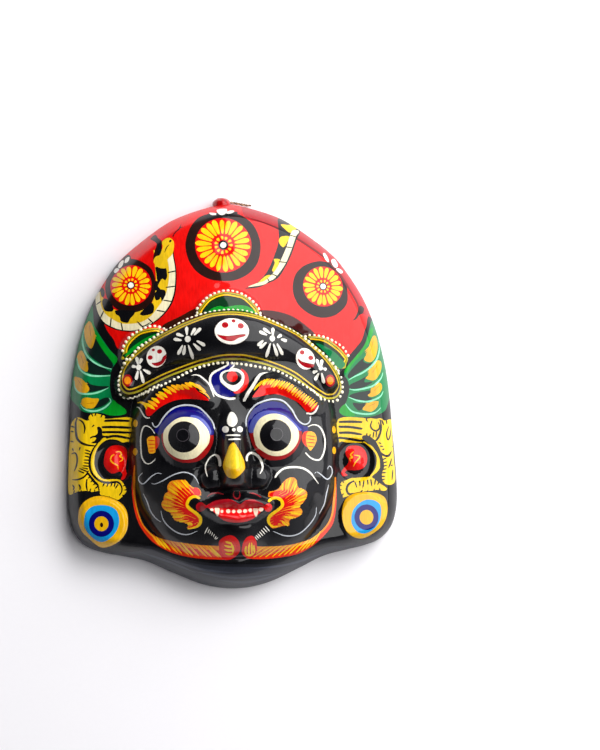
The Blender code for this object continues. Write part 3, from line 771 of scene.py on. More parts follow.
# The snake on the left: black outline, yellow back with black blotches, and a cream belly
snake = {
    "outer": at(-353,904, -347,845, -338,780, -338,703, -348,620, -375,545, -434,474, -508,424, -594,388,
        -678,391, -744,410, -810,453, -847,532, -857,617, -856,681),
    "belly": at(-396,866, -385,795, -384,726, -410,609, -470,520, -516,471, -580,441, -682,439, -752,474,
        -802,523, -821,594, -823,664),
    "inner": at(-476,902, -472,824, -467,682, -489,578, -527,536, -598,507, -662,513, -732,531, -782,566,
        -805,627, -810,691),
    "blotches": [
        at(-469,785, -456,795, -430,783, -402,782, -396,726, -410,705, -429,715, -445,694, -461,709,
            -463,748),
        at(-441,646, -412,638, -409,602, -424,574, -435,572, -441,596, -449,583, -471,579, -480,611,
            -467,637),
        at(-527,542, -501,564, -485,547, -485,515, -502,493, -554,484, -573,496, -553,520),
        at(-729,522, -693,526, -629,520, -603,519, -610,494, -636,468, -649,443, -692,454, -701,484,
            -723,500),
        at(-809,591, -788,609, -756,578, -737,538, -748,519, -777,520, -799,536),
        at(-821,695, -802,685, -790,652, -797,621, -812,626),
        at(-465,702, -446,692, -456,669, -441,646, -473,640, -481,677),
    ],
}
outer, belly, inner = (smoothThrough(snake[part], 4) for part in ("outer", "belly", "inner"))
lay("black", np.vstack([outer, inner[::-1]]))
lay("snake yellow", np.vstack([belly, inner[::-1]]))
for blotch in snake["blotches"]:
    patch("black", blotch, 3)
innerEdge = outer + 0.16 * (picked(belly, len(outer)) - outer)
lay("cream", np.vstack([innerEdge, belly[::-1]]))
strokes("black", [
    at(-390,752, -343,761),
    at(-405,658, -349,663),
    at(-423,577, -367,565),
    at(-466,514, -419,504),
    at(-522,465, -493,436),
    at(-590,448, -552,406),
    at(-693,446, -683,394),
    at(-754,477, -760,428),
    at(-801,523, -824,478),
    at(-814,593, -845,576),
], 0.8, 0.8, 0.8)
stroke("black", at(-587,442, -574,426, -555,418, -529,427, -503,445), 0.8)

# Its head, turned up, with a forked tongue
patch("umber", at(-493,986, -460,1014, -446,984, -422,952, -434,879, -450,860, -467,828, -481,835, -474,881,
    -460,921, -457,948))
patch("snake yellow", at(-423,951, -402,972, -376,979, -355,964, -346,936, -358,873, -390,838, -396,811,
    -397,782, -437,783, -459,795, -479,825, -467,857, -446,866, -427,892, -418,925))
patch("black", at(-446,947, -424,932, -426,899, -437,869, -452,867, -452,900), 3)
patch("umber", at(-372,965, -361,960, -367,949, -378,949), 3)
stroke("umber", at(-376,933, -393,917, -408,883), 0.6)
stroke("crimson", at(-352,986, -340,1011, -313,1032, -294,1070), 0.9, 0.8, 0.2)
strokes("umber", [at(-352,986, -336,1013, -312,1035, -294,1072), at(-326,1023, -306,1041, -286,1046)],
    0.6, 0.8, 0.2)

# The tail that hangs over the other side of the dome
patch("black", at(329,1104, 398,1108, 472,1069, 464,1006, 437,960, 388,839, 324,728, 286,690, 237,668,
    171,642, 88,637, 150,658, 214,718, 247,766, 275,825, 304,899, 318,959, 318,1020))
tailPatches = [
    at(338,1055, 396,1059, 443,1101, 475,1069, 429,1022, 393,997, 365,1018),
    at(319,952, 339,971, 385,970, 368,929, 347,900, 328,912, 318,933),
    at(279,823, 318,817, 284,749, 265,749, 278,780, 285,802),
    at(183,682, 225,716, 255,719, 233,690, 180,676),
]
for piece in tailPatches:
    patch("yellow", piece, 4)
patch("cream", at(416,1018, 455,1024, 455,1004, 431,975, 398,891, 349,787, 280,700, 242,681, 208,659, 106,646,
    172,672, 224,690, 292,759, 342,854, 366,906, 384,959, 397,991))
strokes("black", pairs(390,980, 434,968, 350,903, 400,897, 310,806, 361,800, 265,727, 303,708,
    235,698, 246,675), 0.7, 0.8, 0.8)
patch("umber", at(772,426, 795,454, 826,523, 858,511, 845,475, 819,462, 799,437), 3)

# The ground behind the band darkens towards it
patch("maroon", at(-447,405, -356,450, -279,486, -215,521, -210,482, -214,447, -283,425, -347,396))
patch("maroon", at(178,496, 290,488, 391,453, 472,396, 531,337, 469,313, 398,353, 295,407, 183,446))
patch("brown", at(-433,419, -322,472, -216,520, -206,460, -325,421, -395,390))

# Three crests of green behind the band, each edged with an olive and a yellow line
crests = [
    at(-221,455, -211,487, -200,518, -139,583, -48,615, 50,600, 95,579, 156,516, 171,481, 167,446, -32,419),
    at(-688,213, -682,262, -674,297, -650,333, -614,366, -568,391, -478,405, -441,392, -420,370, -516,305),
    at(456,282, 477,324, 511,330, 597,313, 680,257, 716,220, 740,190, 727,153, 711,125, 602,140, 512,225),
]
for crest in crests:
    edge = closedCurve(crest)
    for paint, amount in (("olive", 0.0), ("umber", 1.0), ("yellow", 1.4), ("umber", 2.3),
                          ("dark green", 2.9)):
        lay(paint, inset(edge, amount))
patch("bright green", at(-153,485, -123,514, -72,528, -43,520, 38,530, 97,522, 137,496, 138,467, -30,456,
    -147,461))
patch("bright green", at(-675,233, -636,281, -575,323, -514,354, -464,366, -455,353, -535,312, -616,260))
patch("green", at(528,282, 568,276, 648,231, 711,168, 718,146, 693,124, 664,136, 585,216, 550,247))

# The padded band: its border lines, then the black ground
bandEdge = closedCurve(at(-716,81, -707,135, -683,184, -647,227, -566,293, -465,352, -365,398, -310,423,
    -196,462, -126,480, -27,488, 53,483, 123,470, 194,450, 265,424, 337,394, 410,360, 469,318, 581,222,
    655,120, 695,21, 687,-25, 662,-57, 613,-69, 566,-62, 474,-4, 374,72, 275,121, 176,156, 77,178, 26,183,
    -73,182, -173,163, -223,152, -323,119, -423,82, -523,37, -573,13, -623,-5, -663,-8, -693,8, -712,39), 3)
bandLines = [               # paint, how far in on the upper and on the lower side
    ("black", -1.0, -2.6), ("olive", 0.0, 0.0), ("umber", 1.15, 1.15), ("deep yellow", 1.6, 2.6),
    ("black", 2.5, 3.5),
]
for paint, upper, lower in bandLines:
    lay(paint, inset(bandEdge, upper, lower))

# Three round heads on the band
heads = [                   # centre, radii, turn, eyes with their radii, mouth
    ((-1, 35.8), (10.7, 8.2), 0.0, [((-5.1, 39.7), 2.1), ((4.6, 39), 2), ((0.3, 42.2), 1.3)],
        at(-104,341, -84,335, -35,327, 66,337, 69,325, 34,316, 4,299, -26,296, -60,304, -90,323)),
    ((-47.8, 22), (6.1, 6.8), -20.0, [((-49.6, 26.3), 1), ((-45.8, 25.1), 1.6), ((-51.7, 21.6), 1.6)],
        at(-508,182, -480,181, -450,192, -435,218, -418,229, -420,203, -440,175, -470,161, -495,167)),
    ((45.6, 18.5), (6, 6.8), 20.0, [((43.5, 22.5), 1.6), ((49.1, 19.1), 1.7)], at(409,187, 440,164, 511,147,
        501,131, 470,128, 440,140, 414,165)),
]
for centre, radii, turn, eyes, mouth in heads:
    disc("umber", centre, radii[0] + 0.5, radii[1] + 0.5, turn)
    disc("white", centre, *radii, turn)
    for eye, radius in eyes:
        disc("crimson", eye, radius, radius * 0.9)
        glance = radius * np.array([(-0.5, 0.3), (0.0, 0.1), (0.4, -0.3)])
        stroke("dark red", np.array(eye) + glance, 0.45)
    patch("crimson", mouth, 3)
    stroke("dark red", mouth[:max(5, len(mouth) // 2 + 1)], 0.4)

# Daisies between them: a middle and loose petals, root and tip
daisies = [
    (at(-283,319), 2, pairs(-288,344, -287,399, -262,343, -233,387, -243,342, -200,385, -309,339, -353,356,
        -322,313, -371,324, -316,281, -346,225, -301,279, -311,221, -279,278, -250,195, -248,288, -205,246,
        -227,305, -176,273)),
    (at(244,311), 1.9, pairs(247,327, 252,381, 232,342, 187,375, 211,332, 161,355, 277,316, 305,336,
        300,306, 339,296, 185,297, 149,266, 205,286, 162,251, 230,278, 204,194, 251,276, 277,201,
        274,278, 312,208)),
    (at(-590,158), 1.8, pairs(-593,176, -602,227, -583,181, -568,215, -604,161, -633,168, -595,136, -609,79,
        -580,135, -560,57, -562,143, -516,116)),
    (at(554,126), 1.5, pairs(557,138, 566,182, 544,133, 528,184, 570,123, 591,116, 531,107, 501,99,
        539,93, 514,49, 559,93, 572,28)),
]
for centre, radius, leaves in daisies:
    for root, tip in leaves:
        petal("white", root, tip, 2.1)
    disc("white", centre, radius * 0.92, radius)
for centre in ((-66.2, 7.8), (61.2, 4.6)):
    disc("crimson", centre, 3.1, 3.8)
    disc("orange", centre, 2.1, 2.5)

# The wings of green leaves beside the band
wings = [
    {"ground": at(-872,581, -891,542, -916,487, -947,423, -972,337, -993,269, -1010,189, -1024,108, -1027,22,
         -1013,-29, -978,-68, -956,-98, -905,-114, -855,-114, -815,-120, -776,-133, -703,-134, -675,-107,
         -702,-78, -751,-41, -766,-2, -773,60, -759,155, -720,221, -766,278, -826,370, -861,441, -867,514),
     "dark": [
         at(-857,355, -827,314, -795,257, -751,193, -760,164, -802,178, -885,238, -921,310, -890,292,
             -868,316),
         at(-914,232, -881,209, -831,179, -768,144, -770,126, -832,123, -877,130, -916,148, -908,183),
         at(-917,90, -895,68, -845,55, -782,51, -799,37, -896,17, -908,36),
         at(-847,-42, -819,-24, -784,-19, -778,-36, -797,-59, -837,-80, -879,-87, -864,-68),
     ],
     "leaves": [
         at(-927,432, -910,462, -892,472, -876,448, -857,372, -863,333, -884,292, -909,320, -924,369),
         at(-972,270, -949,288, -929,258, -907,177, -916,146, -944,162, -971,194, -979,233),
         at(-997,120, -974,117, -945,100, -902,41, -925,12, -953,14, -986,35, -1000,78),
         at(-948,-23, -920,-16, -881,-23, -842,-28, -875,-80, -910,-85, -945,-71, -956,-47),
     ],
     "lines": [
         at(-928,432, -940,367, -934,306, -914,252, -875,210, -819,177, -759,158),
         at(-979,251, -972,202, -953,158, -911,129, -863,118, -770,117),
         at(-998,101, -996,57, -976,23, -942,8, -891,7, -840,17, -783,41),
         at(-961,-58, -944,-84, -905,-101, -854,-101, -809,-83, -777,-56, -767,-42, -778,-24),
     ],
     "stripe": at(-879,474, -857,412, -825,359, -787,301, -743,250, -720,221, -740,189, -769,223, -812,280,
         -850,349, -867,401),
     "foot": at(-751,-37, -727,-60, -675,-102, -686,-130, -776,-133, -822,-109, -786,-83, -766,-59)},
    {"ground": at(914,435, 951,427, 972,386, 993,321, 1008,239, 1023,152, 1037,65, 1038,-11, 999,-104,
         975,-145, 919,-174, 860,-184, 774,-184, 705,-175, 674,-140, 713,-101, 733,-56, 745,1, 735,52,
         712,103, 772,181, 843,260, 869,327, 890,386),
     "dark": [
         at(739,89, 795,153, 842,191, 842,169, 870,156, 900,162, 870,132, 805,96, 747,63),
         at(750,23, 816,53, 863,77, 841,43, 861,36, 899,40, 861,14, 814,-1, 745,-2),
         at(743,-49, 767,-34, 848,-19, 889,-18, 864,-53, 896,-72, 846,-81, 789,-75, 749,-57),
         at(764,-92, 811,-97, 857,-97, 810,-144, 776,-120),
     ],
     "leaves": [
         at(899,314, 920,338, 942,319, 943,263, 924,203, 894,167, 865,167, 845,185, 872,231, 885,282),
         at(899,149, 938,176, 964,165, 961,124, 941,83, 908,48, 868,54, 854,67, 886,95),
         at(907,8, 938,33, 958,21, 957,-8, 936,-37, 893,-57, 863,-48, 888,-25),
         at(851,-105, 892,-86, 930,-87, 921,-122, 885,-151, 844,-144, 825,-133),
     ],
     "lines": [
         at(957,313, 957,253, 932,186, 893,140, 840,101, 781,74, 739,51),
         at(972,102, 959,67, 925,32, 884,7, 791,-11, 744,-5),
         at(969,-19, 947,-54, 904,-76, 858,-87, 800,-80, 766,-68, 736,-55),
         at(946,-127, 913,-156, 867,-166, 809,-162, 758,-147, 730,-118, 717,-98),
     ],
     "stripe": at(915,390, 902,329, 838,226, 784,170, 742,114, 725,95, 714,111, 748,154, 807,220, 843,265,
         868,316, 888,363),
     "foot": at(717,-98, 741,-137, 777,-166, 762,-180, 705,-172, 674,-140)},
]
for wing in wings:
    patch("green", wing["ground"])
    for shade in wing["dark"]:
        patch("umber green", shade, 4)
    patch("bright green", wing["stripe"], 4)
    patch("bright green", wing["foot"], 4)
    for leaf in wing["leaves"]:
        patch("ochre", leaf, 4)
        middle = leaf.mean(axis=0)
        along = np.linalg.svd(leaf - middle)[2][0]
        along *= -np.sign(along[1])     # down the leaf
        across = np.array([-along[1], along[0]]) * (1.0 if middle[0] < 0.0 else -1.0)
        length, width = np.ptp((leaf - middle) @ along), np.ptp((leaf - middle) @ across)
        for number in range(7):     # brush hairs that run out of the leaf's lower and inner end
            start = middle + along * length * (0.05 * number - 0.15) + across * width * (0.2 - 0.03 * number)
            end = start + along * length * 0.3 + across * width * (0.42 - 0.07 * number)
            stroke("ochre", [start, 0.5 * (start + end) + 0.05 * length * along, end], 0.9, 0.8, 0.2)
            if number % 3 == 1:
                start = middle + along * length * (0.08 * number - 0.4) + across * width * 0.1
                vein = [start, start + along * length * 0.16, start + along * length * 0.3]
                stroke("dark ochre", vein, 0.35, 0.4, 0.2)
    strokes("pale green", wing["lines"], 1.1, 0.4, 0.4)

# The third eye, set between a blue and a red crescent
patch("navy", at(-29,174, 1,173, -1,147, -21,129, -55,119, -79,105, -87,82, -84,48, -68,23, -8,-21, 4,-37,
    -32,-46, -80,-40, -112,-20, -147,50, -128,107, -59,143, -34,152))
patch("red", at(46,131, 69,116, 87,87, 91,48, 77,10, 45,-19, 11,-27, -6,-17, 27,-3, 51,20, 64,54, 63,93,
    48,116))
patch("white", at(-30,125, 6,134, 41,121, 63,94, 63,58, 47,20, -2,-13, -69,32, -87,62, -86,96, -66,116))
patch("black", at(-18,113, 21,111, 44,93, 48,68, 33,45, 4,27, -29,32, -57,51, -73,77, -67,98, -45,112))
disc("red", at(-11,81), 3.4)
stroke("white", at(-34,175, -37,154, -116,115, -142,92, -150,63, -144,29, -112,-29, -40,-57, 2,-56),
    1.4, 0.7, 1.0)
strokes("white", [at(7,172, 0,147, -26,125), at(-265,95, -236,98, -204,85, -158,39, -144,5, -129,-44)],
    0.9, 0.5, 0.7)
stroke("white", at(213,102, 184,97, 157,81, 112,14, 85,-22, 57,-73), 2, 0.2, 0.9)

# Eyebrows: a red base with slanted yellow hairs, ending in white curls
brows = [
    {"base": at(-560,-104, -548,-81, -492,-28, -420,20, -377,29, -334,28, -306,39, -268,40, -236,24, -220,2,
         -171,-34, -157,-58, -172,-67, -270,-52, -374,-59, -465,-99, -523,-147, -549,-144),
     "top": at(-593,-59, -573,-62, -554,-71, -525,-48, -458,5, -419,28, -377,37, -334,35, -306,47, -268,48,
         -236,28, -217,2),
     "hairs": 15, "hair": (5.0, -3.3), "width": 1.9},
    {"base": at(109,-30, 136,3, 154,28, 222,53, 346,26, 382,0, 455,-53, 492,-79, 529,-106, 512,-133, 469,-153,
         448,-147, 412,-105, 366,-73, 257,-35, 150,-50, 113,-54),
     "top": at(150,21, 165,40, 191,56, 222,60, 263,53, 347,32, 403,-11, 493,-70, 526,-100),
     "hairs": 27, "hair": (-3.7, -3.9), "width": 1.15},
]
for brow in brows:
    lay("red", inset(closedCurve(brow["base"]), 1.3, 0.0))
    tops = evenSteps(smoothThrough(brow["top"], 6), 0.3)
    for number in range(brow["hairs"]):
        top = tops[int((number + 0.4 + 0.15 * hand.uniform(-1.0, 1.0)) / brow["hairs"] * (len(tops) - 1))]
        foot = top + hand.uniform(0.85, 1.15) * np.array(brow["hair"])
        stroke(hand.choice(["amber", "amber", "yellow"]), [top, top * 0.5 + foot * 0.5 + (0.0, 0.3), foot],
               brow["width"], 0.5, 0.3)
stroke("amber", at(-220,-5, -194,-17, -171,-34, -156,-56), 1)
stroke("yellow", at(-603,-62, -578,-63, -559,-80, -548,-105), 1.1, 0.4, 0.6)
stroke("white", at(-611,-90, -593,-95, -565,-146, -547,-161, -526,-160), 0.8, 0.5, 0.5)
stroke("white", at(451,-157, 480,-163, 506,-148, 528,-111), 1.2, 0.8, 0.3)

# Eyes: blue lids with a white line, red lower rims and large dark irises; the lilac strip on each lid and the
# grey ring round each pupil are painted reflection
eyes = [
    {"rim": at(-458,-268, -432,-239, -389,-207, -306,-191, -229,-213, -168,-252, -141,-280, -143,-323,
         -164,-370, -198,-414, -241,-441, -291,-449, -338,-446, -380,-430, -417,-401, -444,-362, -458,-314),
     "lid": at(-503,-242, -490,-226, -470,-208, -409,-136, -366,-106, -318,-99, -271,-101, -224,-118,
         -185,-148, -155,-197, -138,-242, -138,-277, -164,-281, -231,-260, -308,-235, -390,-241, -451,-258,
         -472,-271, -488,-260),
     "light": at(-276,-156, -236,-160, -198,-184, -167,-223, -153,-261, -164,-278, -183,-261, -215,-223,
         -247,-193, -280,-173),
     "ball": at(-450,-269, -440,-238, -407,-204, -369,-177, -322,-165, -237,-179, -181,-237, -165,-276,
         -164,-306, -180,-347, -244,-412, -291,-428, -338,-427, -380,-411, -417,-382, -439,-348, -450,-309),
     "line": at(-515,-190, -506,-213, -492,-221, -471,-203, -448,-166, -414,-129, -380,-106, -342,-93,
         -295,-90, -247,-98, -206,-121, -145,-194, -130,-246),
     "iris": (-32.4, -28.9), "radius": 9.4, "inner": (-33.1, -27.9)},
    {"rim": at(86,-264, 119,-224, 186,-190, 253,-181, 326,-198, 378,-245, 412,-271, 408,-312, 388,-361,
         353,-405, 300,-438, 241,-448, 185,-441, 139,-410, 109,-368, 90,-316),
     "lid": at(74,-232, 78,-191, 97,-150, 129,-113, 171,-91, 218,-81, 260,-82, 297,-94, 328,-119, 372,-192,
         403,-224, 435,-239, 459,-244, 445,-272, 405,-269, 294,-197, 232,-181, 170,-194, 123,-229, 100,-276,
         81,-269),
     "light": at(80,-267, 89,-222, 111,-181, 148,-151, 195,-137, 241,-141, 287,-155, 329,-179, 391,-240,
         412,-261, 394,-267, 367,-245, 325,-211, 279,-187, 233,-175, 186,-182, 150,-199, 123,-229, 107,-271),
     "ball": at(108,-271, 122,-229, 145,-193, 182,-169, 234,-158, 286,-167, 328,-192, 390,-266, 381,-343,
         315,-409, 220,-420, 134,-369, 114,-327),
     "line": at(65,-234, 67,-190, 81,-154, 108,-119, 145,-91, 229,-67, 302,-79, 357,-135, 374,-171, 399,-208,
         430,-227, 458,-222, 474,-199, 472,-182),
     "iris": (24.3, -29.5), "radius": 9.6, "inner": (24.8, -28.8)},
]
for eye in eyes:
    patch("deep red", eye["rim"])
    patch("navy", eye["lid"])
    # painted reflection on the lid
    patch("lilac", eye["light"])
    patch("cream", eye["ball"])
    middle = np.array(eye["iris"])
    disc("umber", middle, eye["radius"] + 0.3)
    disc("black", middle, eye["radius"])
    # a grey ring of painted reflection round the pupil
    disc("iris grey", eye["inner"], 4)
    disc("black", eye["inner"], 3.6)
    stroke("pale grey", eye["line"], 1, 0.6, 0.8)

# Shell shapes at the outer corners of the eyes, inside white loops
patch("orange red", at(-506,-279, -478,-283, -472,-308, -480,-337, -500,-361, -506,-316))
patch("amber", at(-549,-290, -531,-276, -502,-281, -501,-345, -500,-378, -538,-382, -545,-343, -550,-314))
strokes("red", pairs(-543,-301, -501,-305, -545,-325, -500,-327, -542,-349, -502,-349, -538,-368, -505,-368),
    0.6)
patch("orange red", at(416,-297, 432,-274, 463,-273, 454,-312, 455,-359, 444,-369, 421,-344, 412,-317))
patch("amber", at(454,-275, 487,-275, 507,-297, 509,-334, 474,-389, 452,-375, 443,-343, 442,-307))
strokes("red", pairs(446,-297, 506,-307, 444,-317, 508,-328, 445,-341, 505,-345, 451,-363, 491,-369), 0.6)
stroke("white", at(-501,-262, -517,-233, -541,-213, -562,-210, -577,-231, -588,-283, -587,-384, -575,-425,
    -553,-447, -528,-443, -504,-422), 0.8, 0.5, 0.6)
stroke("white", at(456,-243, 489,-231, 527,-240, 554,-277, 567,-335, 557,-402, 532,-446, 500,-451, 466,-436,
    435,-405), 1, 0.5, 0.8)
for place in ((-61.8, -19), (-62.4, -36.8), (63.3, -26.2), (62.9, -39.3)):
    disc("ochre", place, 1.4, 2.3)

# The mark on the forehead and the gold drop on the nose
patch("white", at(-24,-140, -4,-151, 11,-185, 6,-214, -17,-234, -40,-230, -54,-207, -49,-174, -37,-150))
foreheadDots = [(at(-65,-249), 2.1), (at(-15,-253), 1.1), (at(24,-251), 1.9)]
for place, radius in foreheadDots:
    disc("white", place, radius)
strokes("white", [at(-65,-286, -22,-287, 23,-289), at(-50,-313, -14,-312, 22,-313)], 1, 0.7, 0.7)
patch("umber", at(-26,-328, -5,-342, 35,-423, 47,-467, 42,-506, 17,-537, -13,-555, -47,-557, -76,-538,
    -95,-474, -68,-390, -50,-348))
patch("gold", at(-26,-333, -8,-344, 30,-422, 42,-467, 37,-505, -15,-551, -47,-552, -72,-535, -91,-474,
    -64,-392, -48,-353))
patch("bright gold", at(-27,-338, -9,-366, 8,-461, 0,-488, -30,-496, -81,-474, -71,-431, -53,-382))
stroke("white", at(-185,-538, -193,-509, -194,-475, -181,-442, -160,-415, -133,-402), 0.8, 0.8, 1.0)
stroke("white", at(-139,-404, -127,-405, -114,-418, -107,-445, -107,-473), 1.6, 0.5, 1.0)
stroke("white", at(58,-447, 61,-420, 87,-398, 120,-409, 145,-436, 158,-468, 156,-502, 139,-530),
    1.4, 1.0, 0.4)

# Thin white scrolls on the cheeks
scrolls = [
    at(-582,-503, -605,-524, -606,-551, -584,-572, -561,-558, -528,-526, -489,-507, -462,-514),
    at(-531,-569, -507,-574, -463,-557, -413,-530, -363,-511, -319,-507, -275,-524, -254,-548, -237,-584),
    at(-581,-631, -559,-681, -538,-743, -506,-789, -473,-812),
    at(-475,-742, -462,-795, -429,-840, -380,-878, -331,-894, -292,-890, -254,-874),
    at(489,-537, 507,-526, 534,-544, 576,-574, 608,-545, 609,-506, 590,-490, 578,-511),
    at(501,-744, 494,-800, 451,-860, 399,-904, 347,-921, 289,-917, 223,-889),
    at(585,-607, 568,-668, 554,-729, 521,-787),
]
strokes("pale grey", scrolls, 0.7, 0.5, 0.5)
stroke("white", at(236,-554, 257,-526, 297,-499, 360,-493, 417,-502, 463,-531, 491,-568, 515,-599),
    1.2, 1.0, 0.3)

# Flames on the cheeks
flameHairs = {"places": 200, "tips": 27, "heart": 17}
flames = [
    {"fan": at(-275,-600, -310,-572, -331,-554, -400,-557, -424,-574, -434,-601, -425,-624, -443,-631,
         -454,-650, -457,-675, -470,-692, -466,-720, -445,-742, -423,-751, -402,-774, -391,-802, -330,-820,
         -308,-832, -311,-857, -270,-853, -239,-834, -228,-806, -237,-778, -259,-755, -291,-732, -307,-688,
         -257,-656, -229,-654, -225,-635, -239,-607),
     "heart": at(-278,-618, -311,-621, -344,-626, -367,-643, -378,-675, -374,-713, -357,-742, -325,-766,
         -281,-822, -259,-822, -241,-800, -252,-772, -308,-727, -320,-698, -307,-671, -279,-656, -240,-652,
         -228,-635, -244,-608, -266,-602),
     "tips": at(-318,-556, -337,-555, -370,-557, -403,-566, -423,-585, -427,-610, -450,-649, -468,-699,
         -460,-724, -417,-760, -384,-803, -318,-824, -310,-840, -311,-856),
     "roots": at(-277,-608, -294,-615, -332,-623, -362,-638, -370,-665, -373,-723, -320,-773, -314,-790,
         -302,-803, -274,-816, -259,-829, -245,-840),
     "scroll": at(-236,-669, -265,-658, -295,-670, -313,-700, -304,-727, -247,-773, -230,-802, -239,-834,
         -269,-852, -310,-858)},
    {"fan": at(190,-657, 197,-641, 230,-636, 256,-623, 282,-588, 311,-564, 345,-556, 370,-573, 377,-618,
         406,-629, 434,-647, 436,-675, 417,-708, 385,-740, 403,-758, 404,-783, 378,-804, 343,-811, 321,-828,
         322,-856, 288,-856, 220,-870, 197,-846, 191,-812, 207,-779, 262,-737, 276,-709, 268,-687, 246,-678,
         218,-677, 191,-674),
     "heart": at(197,-653, 241,-638, 286,-639, 309,-662, 331,-684, 326,-722, 309,-745, 298,-772, 264,-788,
         243,-814, 224,-808, 229,-780, 279,-726, 279,-698, 263,-678, 229,-672, 202,-671),
     "tips": at(264,-615, 283,-591, 311,-567, 340,-559, 366,-571, 375,-608, 431,-648, 436,-671, 424,-698,
         395,-731, 387,-745, 402,-764, 402,-787, 373,-806, 339,-814, 322,-834, 321,-856, 283,-857),
     "roots": at(264,-637, 280,-639, 298,-644, 315,-662, 337,-662, 331,-718, 319,-733, 303,-778, 270,-810,
         264,-826, 258,-838),
     "scroll": at(190,-701, 218,-682, 253,-684, 275,-705, 272,-738, 207,-786, 191,-814, 198,-842, 221,-859,
         249,-858)},
]
for flame in flames:
    patch("orange", flame["fan"], 4)
    places = flameHairs["places"]
    tips, roots, scroll = (picked(evenSteps(smoothThrough(flame[part], 6), 0.2), places)
                           for part in ("tips", "roots", "scroll"))
    for number in range(flameHairs["tips"]):
        place = int(places * (number + 0.5) / flameHairs["tips"])
        tip, root = tips[place], roots[place]
        root = tip + (root - tip) * (0.85 + 0.3 * hand.random())
        bend = np.array([root[1] - tip[1], tip[0] - root[0]]) * 0.05 * hand.uniform(-1.0, 1.0)
        stroke(["amber", "yellow", "orange red"][number % 3], [tip, 0.5 * (tip + root) + bend, root],
               (1.1, 1.1, 0.45)[number % 3], 0.6, 0.12)
    patch("red", flame["heart"], 4)
    for number in range(flameHairs["heart"]):
        place = int(places * (number + 0.5) / flameHairs["heart"])
        foot, root, tip = scroll[place], roots[place], tips[place]
        stroke("red", [foot, root, root + (tip - root) * (0.3 + 0.35 * hand.random())], 1.4, 0.9, 0.08)
        foot, root, tip = (line[min(place + 6, places - 1)] for line in (scroll, roots, tips))
        stroke("amber", [foot + (root - foot) * 0.35, root, root + (tip - root) * 0.2], 0.5, 0.3, 0.5)
    stroke("yellow", flame["scroll"], 2, 0.8, 0.35)

# Mouth, with a pink patch of painted reflection on the lower lip
patch("lip red", at(-194,-721, -168,-701, -132,-686, -50,-682, 9,-713, 40,-694, 74,-687, 105,-691, 135,-705,
    165,-725, 154,-750, 98,-801, 60,-819, 10,-827, -51,-823, -95,-808, -131,-778, -161,-747))
patch("dark lip", at(-193,-721, -168,-702, -132,-687, -50,-684, 9,-714, 40,-695, 105,-692, 164,-725, 106,-739,
    9,-743, -116,-733, -161,-729))
# painted reflection on the lower lip
patch("pink", at(6,-778, 27,-783, 49,-780, 42,-790, 27,-794, 13,-789), 3)
teeth = [
    (at(-162,-743), 1.1, 0.8),
    (at(-100,-755), 0.9, 1),
    (at(-61,-755), 1.3, 1.3),
    (at(-27,-757), 1.1, 1.1),
    (at(9,-757), 1.5, 1.2),
    (at(44,-757), 1.3, 1.2),
    (at(77,-753), 1.2, 1.2),
    (at(141,-750), 1.6, 1.2),
]
for place, radius, other in teeth:
    disc("tooth", place, radius, other)
patch("tooth", at(-145,-735, -130,-732, -114,-737, -118,-764, -130,-785, -140,-764), 4)
patch("tooth", at(95,-745, 109,-741, 123,-746, 121,-772, 111,-795, 98,-775), 4)
disc("crimson", at(-231,-724), 2.9)
patch("crimson", at(-215,-707, -188,-718, -169,-711, -172,-730, -194,-730, -213,-741), 3)
disc("red", at(187,-740), 2.6)
strokes("dim red", [
    at(-190,-662, -163,-645, -124,-640, -84,-651),
    at(74,-645, 108,-652, 145,-674),
    at(-21,-634, -27,-657, -14,-677, 3,-677, 14,-658, 12,-636),
], 0.9, 0.4, 0.6)
ticks = pairs(-186,-851, -206,-891, -177,-865, -186,-887, -167,-875, -175,-895, -156,-885, -164,-904,
    -145,-895, -153,-913, -135,-908, -144,-926, -124,-918, -139,-928, 172,-855, 199,-887, 159,-867, 184,-894,
    146,-878, 170,-905, 135,-889, 157,-915, 123,-900, 144,-923, 113,-910, 133,-931, 106,-919, 121,-940)
strokes("white", ticks, 0.6, 0.5, 0.5)

# The beard: an orange edge along the jaw with slanted yellow hairs, and two balls on the chin
beardHairs = {"places": 160, "count": 12, "last": 0.92, "lean": 0.1, "reach": 0.86}
beards = [
    {"outer": at(-634,-452, -649,-567, -648,-651, -637,-735, -614,-815, -579,-877, -535,-930, -480,-971,
         -414,-1006, -336,-1031, -252,-1047, -169,-1055, -85,-1060),
     "inner": at(-627,-453, -629,-567, -628,-651, -615,-736, -589,-815, -551,-867, -501,-907, -391,-937,
         -253,-960, -181,-967, -93,-972),
     "first": 0.5},
    {"outer": at(641,-562, 643,-630, 641,-703, 633,-782, 613,-855, 571,-911, 513,-966, 452,-1010, 382,-1041,
         295,-1055, 203,-1063, 124,-1063, 56,-1056),
     "inner": at(629,-562, 626,-630, 618,-703, 608,-781, 584,-843, 548,-887, 496,-930, 438,-957, 321,-980,
         177,-984, 108,-978),
     "first": 0.46},
]
for beard in beards:
    places = beardHairs["places"]
    outer, inner = (picked(evenSteps(smoothThrough(beard[part], 6), 0.5), places)
                    for part in ("outer", "inner"))
    lay("orange red", np.vstack([outer, inner[::-1]]))
    middle = 0.68 * inner + 0.32 * outer
    second = 0.12 * inner + 0.88 * outer
    share = smoothStep(2.5 * np.linspace(0.0, 1.0, places)[:, None])
    lay("orange", np.vstack([inner, (middle * share + second * (1.0 - share))[::-1]]))
    first, count = beard["first"], beardHairs["count"]
    for number in range(count):
        place = first + (beardHairs["last"] - first) * (number + 0.2 * hand.uniform(-1.0, 1.0)) / (count - 1)
        tip = inner[int((places - 1) * place)]
        root = outer[min(int((places - 1) * (place + beardHairs["lean"])), places - 1)]
        root = tip + beardHairs["reach"] * (root - tip)
        stroke(hand.choice(["yellow", "amber"]), [tip, 0.5 * (tip + root) + (0.0, -0.3), root], 1.2,
               0.35, 0.3)
        stroke("red", [tip + (0.9, 0.0), root + (0.9, 0.0)], 0.4, 0.3, 0.9)
